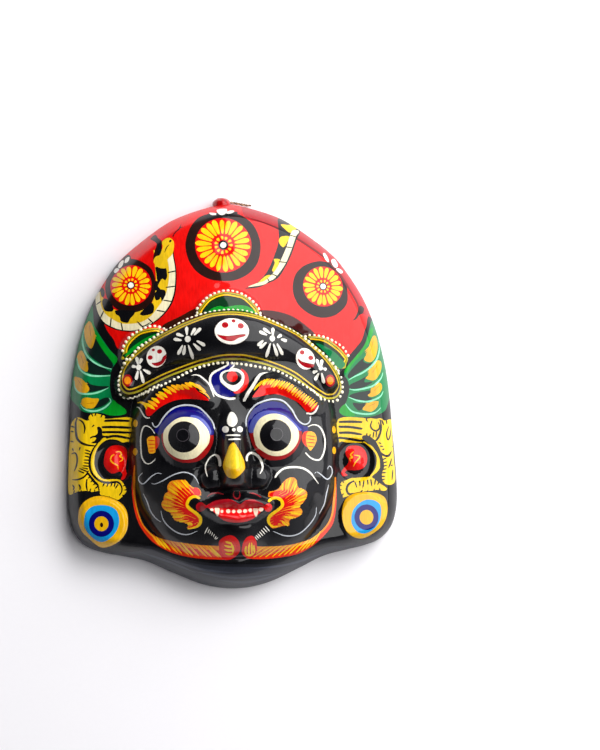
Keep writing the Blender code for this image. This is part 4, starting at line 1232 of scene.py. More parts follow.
chinBalls = [
    {"ball": at(-116,-939, -83,-913, -45,-905, -12,-923, 9,-958, 15,-1004, -5,-1038, -44,-1060, -85,-1059,
         -109,-1030, -117,-983),
     "middle": at(-103,-972, -89,-941, -51,-934, -21,-957, -10,-991, -17,-1026, -51,-1046, -87,-1033),
     "hairs": [
         at(-30,-1025, -52,-1027, -76,-1020),
         at(-30,-1003, -59,-1002, -84,-994),
         at(-35,-980, -60,-977, -85,-968),
         at(-41,-957, -61,-951, -78,-945),
         at(-30,-1020, -29,-991, -43,-955),
     ]},
    {"ball": at(26,-975, 38,-941, 60,-917, 92,-914, 112,-941, 120,-973, 118,-1026, 90,-1054, 50,-1047,
         27,-1016),
     "middle": at(36,-987, 50,-950, 81,-938, 104,-956, 111,-996, 101,-1030, 70,-1045, 47,-1034),
     "hairs": [
         at(56,-1030, 49,-1005, 52,-976),
         at(73,-1032, 69,-994, 72,-957),
         at(92,-1029, 89,-995, 85,-956),
         at(108,-1020, 103,-995, 100,-972),
         at(55,-1032, 81,-1038, 108,-1023),
     ]},
]
for ball in chinBalls:
    patch("red", ball["ball"])
    patch("orange red", ball["middle"])
    strokes("yellow", ball["hairs"], 1.3, 0.6, 0.3)

# Side panels: bars, scrolled foliage, the ears in their crescents and the round earrings
panels = [
    {"foliage": at(-1019,-166, -980,-137, -920,-164, -908,-132, -875,-118, -809,-135, -800,-155, -649,-149,
         -646,-189, -644,-231, -658,-289, -669,-311, -701,-308, -730,-291, -769,-284, -806,-290, -841,-315,
         -867,-352, -881,-402, -882,-447, -867,-491, -839,-527, -810,-536, -754,-536, -714,-548, -685,-605,
         -699,-633, -743,-668, -800,-652, -849,-632, -853,-606, -897,-613, -935,-604, -995,-609, -1046,-627,
         -1055,-578, -1051,-461, -1044,-351, -1034,-264, -1030,-205),
     "gaps": [
         at(-810,-167, -745,-166, -657,-172),
         at(-828,-206, -747,-208, -648,-215),
         at(-826,-238, -747,-240, -649,-246),
         at(-803,-273, -748,-264, -654,-283),
     ],
     "lines": [
         at(-984,-143, -996,-178, -990,-265, -962,-300, -922,-317, -871,-323),
         at(-858,-303, -885,-340, -904,-379, -912,-426, -907,-474, -884,-516, -841,-548, -794,-557, -743,-554,
             -718,-575, -713,-613, -730,-638),
         at(-933,-481, -911,-513, -885,-549, -864,-571, -857,-603),
     ],
     "curls": [
         at(-976,-152, -951,-169, -937,-205, -944,-246),
         at(-918,-475, -943,-512, -983,-531, -1025,-533),
         at(-1026,-366, -999,-364, -990,-402, -997,-447, -1012,-480),
         at(-932,-532, -936,-569, -931,-609),
         at(-1024,-565, -1015,-581, -1020,-597),
         at(-984,-563, -975,-579, -978,-598),
     ],
     "ticks": pairs(-908,-357, -941,-345, -910,-374, -943,-364, -912,-393, -943,-385, -914,-412, -950,-410,
         -916,-432, -949,-427, -919,-450, -956,-446, -924,-467, -961,-458, -936,-481, -978,-461,
         -949,-492, -986,-475, -917,-496, -936,-505, -905,-513, -926,-527, -888,-531, -909,-551,
         -871,-554, -895,-570, -861,-576, -883,-593, -818,-552, -833,-580, -796,-556, -808,-584,
         -774,-555, -782,-584, -753,-557, -762,-587, -737,-570, -754,-595, -924,-136, -909,-161,
         -892,-118, -885,-138, -866,-117, -871,-136, -827,-129, -835,-146, -879,-192, -893,-203,
         -1019,-625, -1012,-597, -993,-626, -988,-602, -966,-623, -970,-598, -915,-612, -909,-590,
         -884,-619, -884,-597, -838,-658, -826,-635, -795,-663, -792,-642, -696,-645, -714,-635,
         -679,-606, -701,-606, -688,-571, -707,-583, -1024,-190, -1003,-201, -1027,-222, -1007,-229,
         -1030,-286, -1010,-293, -970,-330, -977,-349, -1019,-335, -1014,-351),
     "notch": at(-860,-205, -841,-204, -827,-228, -825,-259, -791,-260, -791,-269, -825,-276, -853,-304,
         -902,-304, -879,-292, -865,-272, -885,-269, -907,-278, -901,-263, -872,-256, -856,-240),
     "hollow": at(-658,-321, -701,-308, -734,-294, -770,-290, -802,-297, -834,-321, -859,-355, -872,-403,
         -873,-447, -858,-488, -833,-519, -808,-530, -754,-532, -711,-537, -668,-546),
     "ear": at(-821,-411, -808,-361, -778,-329, -727,-322, -683,-343, -674,-393, -686,-473, -679,-502,
         -699,-539, -718,-537, -706,-510, -724,-488, -768,-501, -803,-478, -821,-447),
     "swirls": [
         at(-734,-473, -737,-450, -769,-431, -780,-409, -768,-385, -752,-383),
         at(-744,-367, -721,-362, -709,-382, -725,-392, -706,-401, -704,-416, -724,-426),
     ],
     "disc": at(-996,-768, -982,-704, -930,-654, -857,-635, -778,-651, -714,-689, -682,-740, -676,-806,
         -689,-870, -733,-927, -799,-962, -859,-966, -922,-917, -973,-863, -994,-812),
     "blue": at(-956,-798, -943,-741, -895,-702, -816,-699, -759,-724, -737,-768, -738,-825, -768,-882,
         -827,-926, -879,-921, -928,-878, -953,-834),
     "middle": at(-847,-814),
     "rings": (7.9, 4.5)},
    {"foliage": at(668,-193, 821,-189, 846,-197, 876,-192, 913,-198, 944,-194, 969,-210, 1017,-199, 1046,-219,
         1031,-296, 1032,-444, 1038,-518, 1036,-591, 1003,-618, 960,-613, 942,-591, 940,-546, 955,-502,
         947,-444, 931,-392, 902,-335, 872,-319, 843,-321, 844,-348, 878,-369, 914,-406, 937,-447, 934,-494,
         912,-532, 874,-564, 894,-582, 917,-603, 969,-641, 951,-657, 907,-648, 877,-653, 795,-660, 705,-686,
         683,-686, 666,-626, 679,-590, 710,-569, 763,-569, 850,-564, 865,-555, 896,-515, 908,-465, 899,-415,
         842,-355, 806,-347, 694,-341, 668,-328),
     "gaps": [
         at(672,-212, 743,-212, 820,-216),
         at(673,-243, 742,-246, 819,-259),
         at(672,-281, 741,-282, 813,-295),
         at(669,-312, 740,-322, 822,-338),
     ],
     "lines": [
         at(812,-330, 868,-350, 909,-396, 932,-444, 936,-500, 924,-547, 895,-576, 933,-592, 959,-619,
             972,-639),
         at(939,-204, 943,-253, 931,-301, 909,-334, 883,-344),
         at(925,-404, 955,-430, 988,-434, 1014,-405),
         at(757,-589, 725,-605, 708,-636, 721,-670, 755,-666),
     ],
     "curls": [
         at(885,-209, 875,-244, 891,-268, 915,-273, 933,-253, 927,-220),
         at(1000,-245, 980,-293, 990,-335, 1012,-293, 1011,-253),
         at(1011,-453, 999,-485, 985,-510),
         at(1018,-525, 1008,-589),
         at(949,-206, 962,-239),
         at(982,-204, 987,-231),
         at(822,-347, 852,-378, 866,-420),
     ],
     "ticks": pairs(894,-282, 888,-320, 912,-281, 908,-318, 871,-296, 862,-323, 850,-291, 842,-318,
         939,-460, 973,-448, 940,-482, 976,-472, 941,-502, 975,-494, 939,-522, 971,-516, 937,-542, 968,-540,
         934,-565, 961,-564, 937,-587, 958,-581, 764,-598, 775,-632, 794,-591, 795,-623, 821,-589, 812,-638,
         845,-585, 847,-616, 866,-582, 871,-626, 898,-580, 889,-617, 922,-591, 908,-618, 789,-669, 812,-647,
         834,-664, 848,-648, 883,-657, 888,-640, 923,-655, 921,-636, 660,-611, 679,-615, 657,-643, 678,-640,
         672,-683, 689,-666, 680,-580, 692,-600, 925,-350, 942,-357, 935,-372, 954,-374, 948,-395, 963,-389,
         1017,-493, 1003,-498, 1057,-378, 1020,-373, 1056,-297, 1026,-305, 848,-197, 856,-216),
     "notch": at(821,-305, 853,-301, 889,-325, 884,-349, 854,-340, 822,-328),
     "hollow": at(664,-353, 732,-348, 806,-352, 842,-362, 871,-385, 893,-418, 901,-464, 889,-512, 844,-561,
         763,-564, 657,-575),
     "ear": at(710,-401, 724,-371, 762,-363, 806,-370, 836,-397, 849,-441, 841,-485, 810,-514, 763,-521,
         720,-519, 702,-533, 721,-552, 688,-556, 679,-533, 697,-503, 719,-482, 727,-453, 714,-430),
     "swirls": [
         at(760,-403, 738,-424, 753,-438, 733,-446, 738,-462),
         at(764,-425, 799,-433, 785,-454, 769,-470, 755,-496),
     ],
     "disc": at(668,-807, 673,-757, 698,-699, 750,-666, 825,-658, 906,-667, 957,-699, 974,-758, 964,-823,
         932,-881, 878,-924, 812,-956, 750,-949, 697,-911, 675,-858),
     "blue": at(730,-831, 744,-773, 783,-731, 829,-710, 881,-714, 919,-742, 925,-793, 912,-851, 876,-895,
         824,-922, 771,-913, 739,-874),
     "middle": at(829,-820),
     "rings": (7.8, 4.5)},
]
for panel in panels:
    patch("panel yellow", panel["foliage"], 4)
    patch("black", panel["hollow"], 4)
    patch("black", panel["notch"], 3)
    strokes("black", panel["gaps"], 1.6, 0.9, 0.8)
    strokes("black", panel["lines"], 1.5, 0.6, 0.5)
    strokes("black", panel["curls"], 1.1, 0.6, 0.5)
    strokes("black", panel["ticks"], 0.9, 1.0, 0.3)
    patch("red", panel["ear"], 4)
    strokes("amber", panel["swirls"], 0.9, 0.5, 0.5)
    edge = closedCurve(panel["disc"], 4)
    lay("umber", edge)
    lay("gold", inset(edge, 0.35))
    patch("sky blue", panel["blue"], 4)
    for paint, ring in zip(("navy", "gold"), panel["rings"]):
        disc(paint, panel["middle"], ring, ring * 1.04)
disc("umber", at(-846,-821), 1, 1.5)
print("painted outlines:", len(canvas))


# Brushwork: long streaks and soft patches where the paint is thinner, under a lacquer worn a little in places
def makeBrushGroup():
    group, start, end = newGroup(
        "brushwork",
        [("Color", "colour", (0.5, 0.5, 0.5, 1.0)), ("Streaks per metre", "value", 900.0),
         ("Streak slimness", "value", 0.14), ("Patches per metre", "value", 45.0),
         ("Contrast", "value", 0.3)],
        [("Color", "colour"), ("Thinness", "value"), ("Height", "value")])
    place = group.nodes.new("ShaderNodeTexCoord")
    squeeze = put(group, "ShaderNodeCombineXYZ", {"X": 1.0, "Y": start.outputs["Streak slimness"], "Z": 1.0})
    turned = put(group, "ShaderNodeMapping", {"Vector": place.outputs["Object"], "Rotation": (0.0, 0.0, 0.5),
                                              "Scale": squeeze.outputs[0]})
    streaks = put(group, "ShaderNodeTexNoise", {"Vector": turned.outputs[0], "Detail": 3.0,
                                                "Scale": start.outputs["Streaks per metre"]})
    patches = put(group, "ShaderNodeTexNoise", {"Vector": place.outputs["Object"], "Detail": 3.0,
                                                "Scale": start.outputs["Patches per metre"]})
    both = put(group, "ShaderNodeMath", {0: patches.outputs["Fac"], 1: streaks.outputs["Fac"]},
               operation="ADD")
    thin = put(group, "ShaderNodeMapRange", {"Value": both.outputs[0], "From Min": 0.7, "From Max": 1.3})
    offset = put(group, "ShaderNodeMath", {0: thin.outputs[0], 1: 0.5}, operation="SUBTRACT")
    shade = put(group, "ShaderNodeMath", {0: offset.outputs[0], 1: start.outputs["Contrast"], 2: 1.0},
                operation="MULTIPLY_ADD")
    toned = put(group, "ShaderNodeMix", {0: 1.0, 6: start.outputs["Color"], 7: shade.outputs[0]},
                data_type="RGBA", blend_type="MULTIPLY")
    group.links.new(toned.outputs[2], end.inputs["Color"])
    group.links.new(thin.outputs[0], end.inputs["Thinness"])
    group.links.new(both.outputs[0], end.inputs["Height"])
    return group


brushGroup = makeBrushGroup()


gloss = {
    "roughness": 0.42,      # of the paint
    "lacquerRoughness": 0.06,
    "thinning": ((0.36, 0.5), (1.0, 0.86)),     # roughness and lacquer, from thick to thin paint
    "steep": ((0.2, 0.85), (0.06, 1.0)),        # lacquer left on slopes between these levels
    "streaks": (0.3, 0.0001),                   # strength, height in metres
}


# Lacquered paint: the paint's gloss is low because the lacquer over it bends light as much as the paint does
def lacquer(name, specular, contrast, colour=None):
    paint, tree, shader = newMaterial(name, gloss["roughness"], 1.0, gloss["lacquerRoughness"])
    shader.inputs["Specular IOR Level"].default_value = specular
    group = put(tree, "ShaderNodeGroup", {"Contrast": contrast}, node_tree=brushGroup)
    if colour:
        group.inputs["Color"].default_value = opaque(colour)
    else:
        painted = put(tree, "ShaderNodeAttribute", attribute_name="paint")
        tree.links.new(painted.outputs["Color"], group.inputs["Color"])
    rough, cover = (put(tree, "ShaderNodeMapRange", {"Value": group.outputs["Thinness"], "To Min": thick,
                                                     "To Max": thin}) for thick, thin in gloss["thinning"])
    if not colour:      # lacquer runs off the steep sides before it sets
        level = put(tree, "ShaderNodeAttribute", attribute_name="level")
        (steep, flat), (least, most) = gloss["steep"]
        kept = put(tree, "ShaderNodeMapRange", {"Value": level.outputs["Fac"], "From Min": steep,
                                                "From Max": flat, "To Min": least, "To Max": most})
        cover = put(tree, "ShaderNodeMath", {0: cover.outputs[0], 1: kept.outputs[0]}, operation="MULTIPLY")
    strength, distance = gloss["streaks"]
    raised = put(tree, "ShaderNodeBump", {"Height": group.outputs["Height"], "Strength": strength,
                                          "Distance": distance})
    tree.links.new(group.outputs["Color"], shader.inputs["Base Color"])
    tree.links.new(rough.outputs[0], shader.inputs["Roughness"])
    tree.links.new(cover.outputs[0], shader.inputs["Coat Weight"])
    tree.links.new(raised.outputs[0], shader.inputs["Normal"])
    return paint


# The shell: one closed mesh with a fine painted face, a flat rim and a bare hollow behind
shell = {
    "sheet": ((-107.0, 107.0), (-126.0, 123.0)),    # what the even pattern of points covers
    "rimPoints": 570,
    "spacing": 1.15,        # between the points of the painted side
    "insideSpacing": 2.6,
    "slopeStep": 0.25,      # over which a slope is measured
    "edgeAngles": (4, 9, 15, 22, 30, 38, 46, 54, 62, 70, 77),
    "insideAngles": (10, 20, 32, 44, 56, 66),
    "unevenness": 0.05,     # of the hand-laid pulp: height, then waves by x, y, start and strength
    "waves": [(0.21, 0.13, 0.0, 1.0), (-0.09, 0.17, 1.7, 1.0), (0.33, -0.29, 0.6, 1.0),
              (0.52, 0.47, 2.2, 0.6), (-0.43, 0.61, 0.0, 0.5)],
    "paintMargin": 0.1,     # paint edges keep this far from the rim
    "paintStep": (1.2, 8.0),        # between the points of paint edges, and the size from which they have it
    "pupils": [(-32.7, -28.3), (24.6, -29.2)],
    "irisRadius": 9.6,
    "irisRise": 0.9,
    "pupil": (2.4, 0.7),            # reach, depth
    "pupilRing": (3.9, 0.9, 0.12),  # radius, width, height
    "pulp": ((139, 128, 112), (104, 94, 82), 0.95, 90.0, 1500.0, 0.8, (0.5, 0.0006)),
}


def honeycomb(spacing):
    across, up = shell["sheet"]
    rows = np.arange(*up, spacing * math.sqrt(0.75))
    columns = np.arange(*across, spacing)
    shift = 0.5 * spacing * (np.arange(len(rows)) % 2)
    return np.array([(x + s, y) for y, s in zip(rows, shift) for x in columns])


# Triangles inside a loop, through extra points and along closed outlines
def triangulate(loop, extra, outlines):
    points = np.vstack([loop, extra] + outlines)
    edges, first = [], len(loop) + len(extra)
    for line in outlines:
        edges += [(first + step, first + (step + 1) % len(line)) for step in range(len(line))]
        first += len(line)
    flat = [Vector(point) for point in points.tolist()]
    places, _, faces, sources, *_ = delaunay_2d_cdt(flat, edges, [list(range(len(loop)))], 1, 1e-5)
    places = np.array([place[:] for place in places])
    faces = np.array(faces)
    found = {old: new for new, olds in enumerate(sources) for old in olds}
    a, b, c = (places[faces[:, corner]] for corner in range(3))
    turned = (b[:, 0] - a[:, 0]) * (c[:, 1] - a[:, 1]) - (b[:, 1] - a[:, 1]) * (c[:, 0] - a[:, 0]) < 0.0
    faces[turned] = faces[turned][:, ::-1]
    return places, faces, [found[index] for index in range(len(loop))]


def unevenness(x, y):
    waves = sum(strength * np.sin(a * x + b * y + start) for a, b, start, strength in shell["waves"])
    return shell["unevenness"] * waves


# The irises bulge a little and have a dimple at the pupil inside a low ring
def pupils(x, y):
    height = 0.0
    reach, depth = shell["pupil"]
    radius, width, rise = shell["pupilRing"]
    for centreX, centreY in shell["pupils"]:
        away = np.hypot(x - centreX, y - centreY)
        height = height + (shell["irisRise"] * np.clip(1.0 - (away / shell["irisRadius"]) ** 2, 0.0, 1.0) ** 2
                           - depth * np.exp(-(away / reach) ** 2)
                           + rise * np.exp(-((away - radius) / width) ** 2))
    return height


def surface(x, y):
    return outerForm(x, y) + unevenness(x, y) + pupils(x, y)


# Heights and outward directions of the painted side
def onSurface(points):
    distance, inward = fromRim(points)
    width = shoulderWidth(points)
    share = np.clip(distance / width, 0.0, 1.0)
    rounding = np.sqrt(1.0 - (1.0 - share) ** 2)
    x, y = points.T
    step = shell["slopeStep"]
    slope = np.column_stack([surface(x + step, y) - surface(x - step, y),
                             surface(x, y + step) - surface(x, y - step)]) / (2.0 * step)
    height = surface(x, y)
    edge = (height * (1.0 - share) / width)[:, None] * inward
    normals = np.column_stack([-(rounding ** 2)[:, None] * slope - edge, rounding])
    return height * rounding, normals / np.linalg.norm(normals, axis=1)[:, None]


# Rings of points along the rounded edge, and the even pattern inside them
def edgeAndPattern(loop, wall, angles, spacing, gap):
    def insets(points):
        width = shoulderWidth(points) - wall
        return [wall + width * (1.0 - math.cos(math.radians(angle))) for angle in angles]

    inward = inwardOf(loop)
    pattern = honeycomb(spacing)
    pattern = pattern[fromRim(pattern)[0] > insets(pattern)[-1] + gap * spacing]
    return np.vstack([loop + inward * inset[:, None] for inset in insets(loop)] + [pattern])


# The painted side: points along the rounded edge, an even pattern inside it and every paint edge
def paintedSide(outlines):
    loop = rimLine(shell["rimPoints"])
    points = edgeAndPattern(loop, 0.0, shell["edgeAngles"], shell["spacing"], 0.6)
    step, large = shell["paintStep"]
    kept = [evenSteps(np.vstack([line, line[:1]]), step)[:-1] if np.ptp(line, axis=0).max() > large else line
            for line in outlines]
    ends = np.cumsum([len(line) for line in kept])
    every = np.vstack(kept)
    distance, inwards = fromRim(every)
    every = every + inwards * np.maximum(shell["paintMargin"] - distance, 0.0)[:, None]
    kept = np.split(every, ends[:-1])
    places, faces, border = triangulate(loop, points, kept)
    height, normals = onSurface(places)
    height[border] = 0.0
    normals[border, 2] = 0.0
    normals /= np.linalg.norm(normals, axis=1)[:, None]
    return places, faces, border, height, normals


# The flat rim and the hollow behind it, seen from below
def bareSide():
    loop, wall = rimLine(shell["rimPoints"]), form["wall"]
    points = edgeAndPattern(loop, wall, (0,) + shell["insideAngles"], shell["insideSpacing"], 0.5)
    places, faces, border = triangulate(loop, points, [])
    distance, inward = fromRim(places)
    hollow = distance > wall + 0.005    # past the flat rim's inner edge
    height = np.zeros(len(places))
    outward = -inward[hollow]
    height[hollow] = np.maximum(innerHeight(places[hollow], np.arctan2(outward[:, 1], outward[:, 0])), 0.0)
    flat = ~hollow[faces].any(axis=1)
    return places, faces[:, ::-1], border, height, flat


def makeShell(materials):
    names, outlines = [name for name, _ in canvas], [outline for _, outline in canvas]
    places, faces, border, height, normals = paintedSide(outlines)
    print("painted side:", len(faces), "triangles")
    under, underFaces, underBorder, underHeight, flat = bareSide()
    print("bare side:", len(underFaces), "triangles")
    renumber = np.full(len(under), -1)
    renumber[underBorder] = border
    free = renumber < 0
    renumber[free] = len(places) + np.arange(free.sum())
    verts = np.vstack([toMetres(places, height), toMetres(under[free], underHeight[free])])
    every = np.vstack([faces, renumber[underFaces]])
    mesh = bpy.data.meshes.new("painted_shell")
    mesh.from_pydata(verts.tolist(), [], every.tolist())
    mesh.shade_smooth()
    bare = np.arange(len(every)) >= len(faces)
    mesh.polygons.foreach_set("material_index", bare.astype(int))
    corner = np.zeros(len(every) * 9)
    mesh.corner_normals.foreach_get("vector", corner)
    corner = corner.reshape(-1, 3)
    corner[:len(faces) * 3] = normals[faces.ravel()]
    down = np.repeat(np.concatenate([np.zeros(len(faces), dtype=bool), flat]), 3)
    corner[down] = (0.0, 0.0, -1.0)
    mesh.normals_split_custom_set(corner.tolist())
    colour = np.ones((len(every) * 3, 4))
    colour[:len(faces) * 3, :3] = np.repeat(paintOf(places[faces].mean(axis=1), outlines, names), 3, axis=0)
    mesh.color_attributes.new("paint", "FLOAT_COLOR", "CORNER").data.foreach_set("color", colour.ravel())
    level = np.ones(len(verts))
    level[:len(places)] = normals[:, 2]
    mesh.attributes.new("level", "FLOAT", "POINT").data.foreach_set("value", level)
    for paint in materials:
        mesh.materials.append(paint)
    placed = link(bpy.data.objects.new("painted_shell", mesh))
    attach(placed, "root")
    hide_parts("mask_shell")


pulp = mottledMaterial("bare_pulp", *shell["pulp"])
makeShell([lacquer("lacquered_paint", 0.1, 0.35), pulp])
print("shell made")


# The lump of pulp at the apex that holds the twine
lump = {
    "centre": (-0.0027, 0.1212, 0.0082),
    "radii": (0.0060, 0.0045, 0.0078),
    "colour": (176, 6, 8),
    "rings": 20,
    "sides": 32,
    "roughness": 0.03,      # share of the radii
    "rimGap": 0.5,          # this far inside the rim, in millimetres, it has to stay in the shell's wall
    "depth": 0.0012,        # how deep it may reach into the wall
}


def makeLump():
    rings, sides = lump["rings"], lump["sides"]
    verts = [(0.0, 0.0, 1.0)]
    for ring in range(1, rings):
        down = math.pi * ring / rings
        for turn in range(sides):
            angle = 2.0 * math.pi * turn / sides
            verts.append((math.sin(down) * math.cos(angle), math.sin(down) * math.sin(angle), math.cos(down)))
    verts.append((0.0, 0.0, -1.0))
    faces = [(0, 1 + turn, 1 + (turn + 1) % sides) for turn in range(sides)]
    for ring in range(rings - 2):
        for turn in range(sides):
            a, b = 1 + ring * sides + turn, 1 + ring * sides + (turn + 1) % sides
            faces.append((a, a + sides, b + sides, b))
    last = 1 + (rings - 2) * sides
    faces += [(len(verts) - 1, last + (turn + 1) % sides, last + turn) for turn in range(sides)]
    x, y, z = np.array(verts).T
    rough = 1.0 + lump["roughness"] * np.sin(7.0 * x + 5.0 * y) * np.sin(6.0 * z + 1.0)
    placed = lump["centre"] + np.array(verts) * lump["radii"] * rough[:, None]
    plan = placed[:, :2] * 1000.0 - (0.0, sheetShift)
    within = fromRim(plan)[0] > lump["rimGap"]
    placed[within, 2] = np.maximum(placed[within, 2], onSurface(plan[within])[0] / 1000.0 - lump["depth"])
    mesh = bpy.data.meshes.new("apex_lump")
    mesh.from_pydata(placed.tolist(), [], faces)
    mesh.shade_smooth()
    mesh.materials.append(lacquer("lump_paint", 0.1, 0.9, lump["colour"]))
    made = link(bpy.data.objects.new("apex_lump", mesh))
    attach(made, "root")


makeLump()
print("lump made")


# Pearls: rows of raised drops of cream paint along the crests and the band
pearls = {
    "radius": 0.00106,      # metres
    "spacing": 0.0029,
    "flatness": 0.62,       # height over radius
    "variation": 0.13,
    "seed": 5,
    "colour": (255, 248, 220),
    "rows": [
        at(-217,487, -217,511, -201,533, -160,576, -99,611, -19,625, 75,598, 150,536, 176,496, 180,478),
        at(-688,268, -684,292, -644,350, -583,390, -523,414, -473,415, -425,398),
        at(464,329, 495,338, 557,331, 626,308, 694,269, 720,241, 740,207),
        at(-642,212, -601,270, -550,307, -444,371, -364,409, -279,450, -194,476, -124,492, -25,500, 66,496,
            145,474, 224,439, 315,397, 400,360, 469,308, 530,254, 586,210, 636,159, 672,110),
        at(658,122, 677,88, 694,58, 699,-15, 672,-67, 645,-81, 597,-80, 546,-60, 499,-18),
        at(-648,-29, -578,-13, -499,17, -424,50, -349,84, -283,118, -213,145, -148,161, -73,171, 16,163,
            95,150, 180,133, 269,111, 353,66, 438,18, 525,-40, 547,-68),
        at(-664,214, -681,185, -711,111, -718,71, -714,9, -695,-21, -659,-33, -601,-22, -499,28, -471,40),
    ],
}


def makePearlTree():
    tree = bpy.data.node_groups.new("pearl_rows", "GeometryNodeTree")
    sockets = {}
    for name, kind, value in (("Geometry", "NodeSocketGeometry", None), ("Spacing", "NodeSocketFloat", 0.003),
                              ("Radius", "NodeSocketFloat", 0.001), ("Flatness", "NodeSocketFloat", 0.6),
                              ("Variation", "NodeSocketFloat", 0.1), ("Seed", "NodeSocketInt", 1),
                              ("Material", "NodeSocketMaterial", None)):
        made = tree.interface.new_socket(name=name, in_out="INPUT", socket_type=kind)
        sockets[name] = made.identifier
        if value is not None:
            made.default_value = value
    tree.interface.new_socket(name="Geometry", in_out="OUTPUT", socket_type="NodeSocketGeometry")
    start, end = tree.nodes.new("NodeGroupInput"), tree.nodes.new("NodeGroupOutput")
    curve = put(tree, "GeometryNodeMeshToCurve", {"Mesh": start.outputs["Geometry"]})
    even = put(tree, "GeometryNodeResampleCurve",
               {"Curve": curve.outputs[0], "Length": start.outputs["Spacing"]}, mode="LENGTH")
    height = put(tree, "GeometryNodeInputNamedAttribute", {"Name": "height"}, data_type="FLOAT")
    lift = put(tree, "ShaderNodeCombineXYZ", {"Z": height.outputs["Attribute"]})
    raised = put(tree, "GeometryNodeSetPosition", {"Geometry": even.outputs[0], "Offset": lift.outputs[0]})
    ball = put(tree, "GeometryNodeMeshUVSphere",
               {"Segments": 10, "Rings": 6, "Radius": start.outputs["Radius"]})
    smooth = put(tree, "GeometryNodeSetShadeSmooth", {"Geometry": ball.outputs["Mesh"]})
    flat = put(tree, "ShaderNodeCombineXYZ", {"X": 1.0, "Y": 1.0, "Z": start.outputs["Flatness"]})
    drop = put(tree, "GeometryNodeTransform", {"Geometry": smooth.outputs[0], "Scale": flat.outputs[0]})
    outward = put(tree, "GeometryNodeInputNamedAttribute", {"Name": "outward"}, data_type="FLOAT_VECTOR")
    turn = put(tree, "FunctionNodeAlignRotationToVector", {"Vector": outward.outputs["Attribute"]}, axis="Z")
    least = put(tree, "ShaderNodeMath", {0: 1.0, 1: start.outputs["Variation"]}, operation="SUBTRACT")
    most = put(tree, "ShaderNodeMath", {0: 1.0, 1: start.outputs["Variation"]}, operation="ADD")
    sizes = put(tree, "FunctionNodeRandomValue", data_type="FLOAT")
    tree.links.new(least.outputs[0], sizes.inputs[2])
    tree.links.new(most.outputs[0], sizes.inputs[3])
    tree.links.new(start.outputs["Seed"], sizes.inputs["Seed"])
    placed = put(tree, "GeometryNodeInstanceOnPoints",
                 {"Points": raised.outputs[0], "Instance": drop.outputs[0], "Rotation": turn.outputs[0],
                  "Scale": sizes.outputs[1]})
    real = put(tree, "GeometryNodeRealizeInstances", {"Geometry": placed.outputs[0]})
    painted = put(tree, "GeometryNodeSetMaterial", {"Geometry": real.outputs[0],
                                                    "Material": start.outputs["Material"]})
    tree.links.new(painted.outputs[0], end.inputs[0])
    return tree, sockets


def makePearls():
    verts, heights, normals, edges = [], [], [], []
    for row in pearls["rows"]:      # flat paths, so that the drops are evenly apart in plan
        line = evenSteps(smoothThrough(row, 8), 0.7)
        height, outward = onSurface(line)
        edges += [(len(verts) + step, len(verts) + step + 1) for step in range(len(line) - 1)]
        verts += toMetres(line, np.zeros(len(line))).tolist()
        heights += (height / 1000.0).tolist()
        normals += outward.tolist()
    mesh = bpy.data.meshes.new("pearl_paths")
    mesh.from_pydata(verts, edges, [])
    mesh.attributes.new("height", "FLOAT", "POINT").data.foreach_set("value", heights)
    mesh.attributes.new("outward", "FLOAT_VECTOR", "POINT").data.foreach_set("vector", np.ravel(normals))
    paths = link(bpy.data.objects.new("pearl_paths", mesh))
    tree, sockets = makePearlTree()
    modifier = paths.modifiers.new("pearl_rows", "NODES")
    modifier.node_group = tree
    for name in ("Spacing", "Radius", "Flatness", "Variation", "Seed"):
        modifier[sockets[name]] = pearls[name.lower()]
    modifier[sockets["Material"]] = lacquer("pearl_paint", 0.15, 0.2, pearls["colour"])
    ready = paths.evaluated_get(bpy.context.evaluated_depsgraph_get())
    made = link(bpy.data.objects.new("pearls", bpy.data.meshes.new_from_object(ready)))
    made.data.name = "pearls"
    bpy.data.objects.remove(paths)
    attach(made, "root")
    print("pearls:", len(made.data.polygons), "faces")


makePearls()


# Light: a large soft window to the right and a pale room around
light = {
    "windowPlace": ((0.04, 1.62), (1.65, 0.35)),    # its upper and lower edge: x, z in metres
    "windowReach": (-0.55, 2.6),                    # its ends towards the crown
    "radiance": 2.4,
    "fillPlace": (0.75, 0.95, 1.5),
    "fillSize": 1.1,
    "fillPower": 22.0,
    "horizonColour": (206, 206, 216),
    "zenithColour": (14, 12, 16),
    "zenithHeight": 0.8,
    "dimSide": 0.38,        # the room's brightness on the left over that on the right
    "sides": (-0.9, 0.7),   # left and right, as x of a direction
    "roomStrength": 0.75,
}
floor = {
    "half": 4.0,
    "colours": ((243, 241, 244), (241, 239, 242)),
    "paper": (0.9, 20.0, 400.0, 0.5, (0.0, 0.0001)),    # as mottledMaterial takes them
}


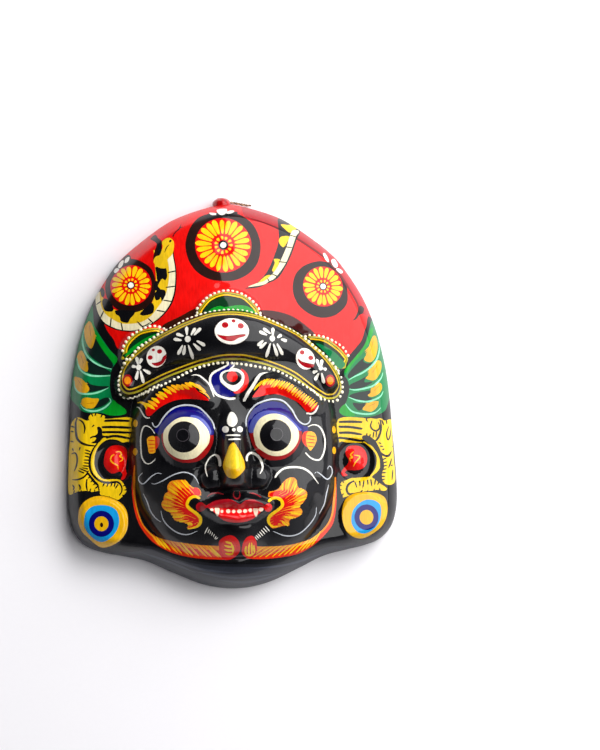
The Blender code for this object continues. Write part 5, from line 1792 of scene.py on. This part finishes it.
def makeWindow():
    (topX, topZ), (footX, footZ) = light["windowPlace"]
    length = math.hypot(footX - topX, footZ - topZ)
    near, far = light["windowReach"]
    data = bpy.data.lights.new("window", "AREA")
    data.shape = "RECTANGLE"
    data.size, data.size_y = length, far - near
    data.energy = light["radiance"] * math.pi * length * (far - near)
    placed = link(bpy.data.objects.new("window", data))
    along = Vector((footX - topX, 0.0, footZ - topZ)).normalized()
    back = Vector((-along.z, 0.0, along.x))
    if back.z < 0.0:
        back = -back
    axes = Matrix((along, back.cross(along), back)).transposed().to_4x4()
    middle = ((topX + footX) / 2.0, (near + far) / 2.0, (topZ + footZ) / 2.0)
    placed.matrix_world = Matrix.Translation(middle) @ axes


def makeFill():
    data = bpy.data.lights.new("fill", "AREA")
    data.shape, data.size, data.energy = "DISK", light["fillSize"], light["fillPower"]
    placed = link(bpy.data.objects.new("fill", data))
    aimed = (-Vector(light["fillPlace"])).to_track_quat("-Z", "Y").to_matrix().to_4x4()
    placed.matrix_world = Matrix.Translation(light["fillPlace"]) @ aimed
    placed.visible_glossy = False       # only the window shows in the lacquer


def makeRoom():
    world = bpy.data.worlds.new("room")
    world.use_nodes = True
    bpy.context.scene.world = world
    tree = world.node_tree
    place = tree.nodes.new("ShaderNodeTexCoord")
    parts = put(tree, "ShaderNodeSeparateXYZ", {0: place.outputs["Generated"]})
    ramp = put(tree, "ShaderNodeValToRGB", {"Fac": parts.outputs["Z"]})
    horizon, zenith = ramp.color_ramp.elements
    horizon.position, horizon.color = 0.0, opaque(light["horizonColour"])
    zenith.position, zenith.color = light["zenithHeight"], opaque(light["zenithColour"])
    left, right = light["sides"]
    side = put(tree, "ShaderNodeMapRange", {"Value": parts.outputs["X"], "From Min": left, "From Max": right,
                                            "To Min": light["dimSide"], "To Max": 1.0})
    shaded = put(tree, "ShaderNodeMix", {0: 1.0, 6: ramp.outputs["Color"], 7: side.outputs[0]},
                 data_type="RGBA", blend_type="MULTIPLY")
    backdrop = tree.nodes["Background"]
    tree.links.new(shaded.outputs[2], backdrop.inputs["Color"])
    backdrop.inputs["Strength"].default_value = light["roomStrength"]


def makeFloor():
    mesh = bpy.data.meshes.new("floor")
    half = floor["half"]
    mesh.from_pydata([(-half, -half, 0.0), (half, -half, 0.0), (half, half, 0.0), (-half, half, 0.0)], [],
                     [(0, 1, 2, 3)])
    placed = link(bpy.data.objects.new("floor", mesh))
    mesh.materials.append(mottledMaterial("floor_paper", *floor["colours"], *floor["paper"]))


makeFloor()
makeWindow()
makeFill()
makeRoom()
# This keeps the paint as bright as in the photograph
bpy.context.scene.view_settings.view_transform = "Standard"
print("floor and light made")
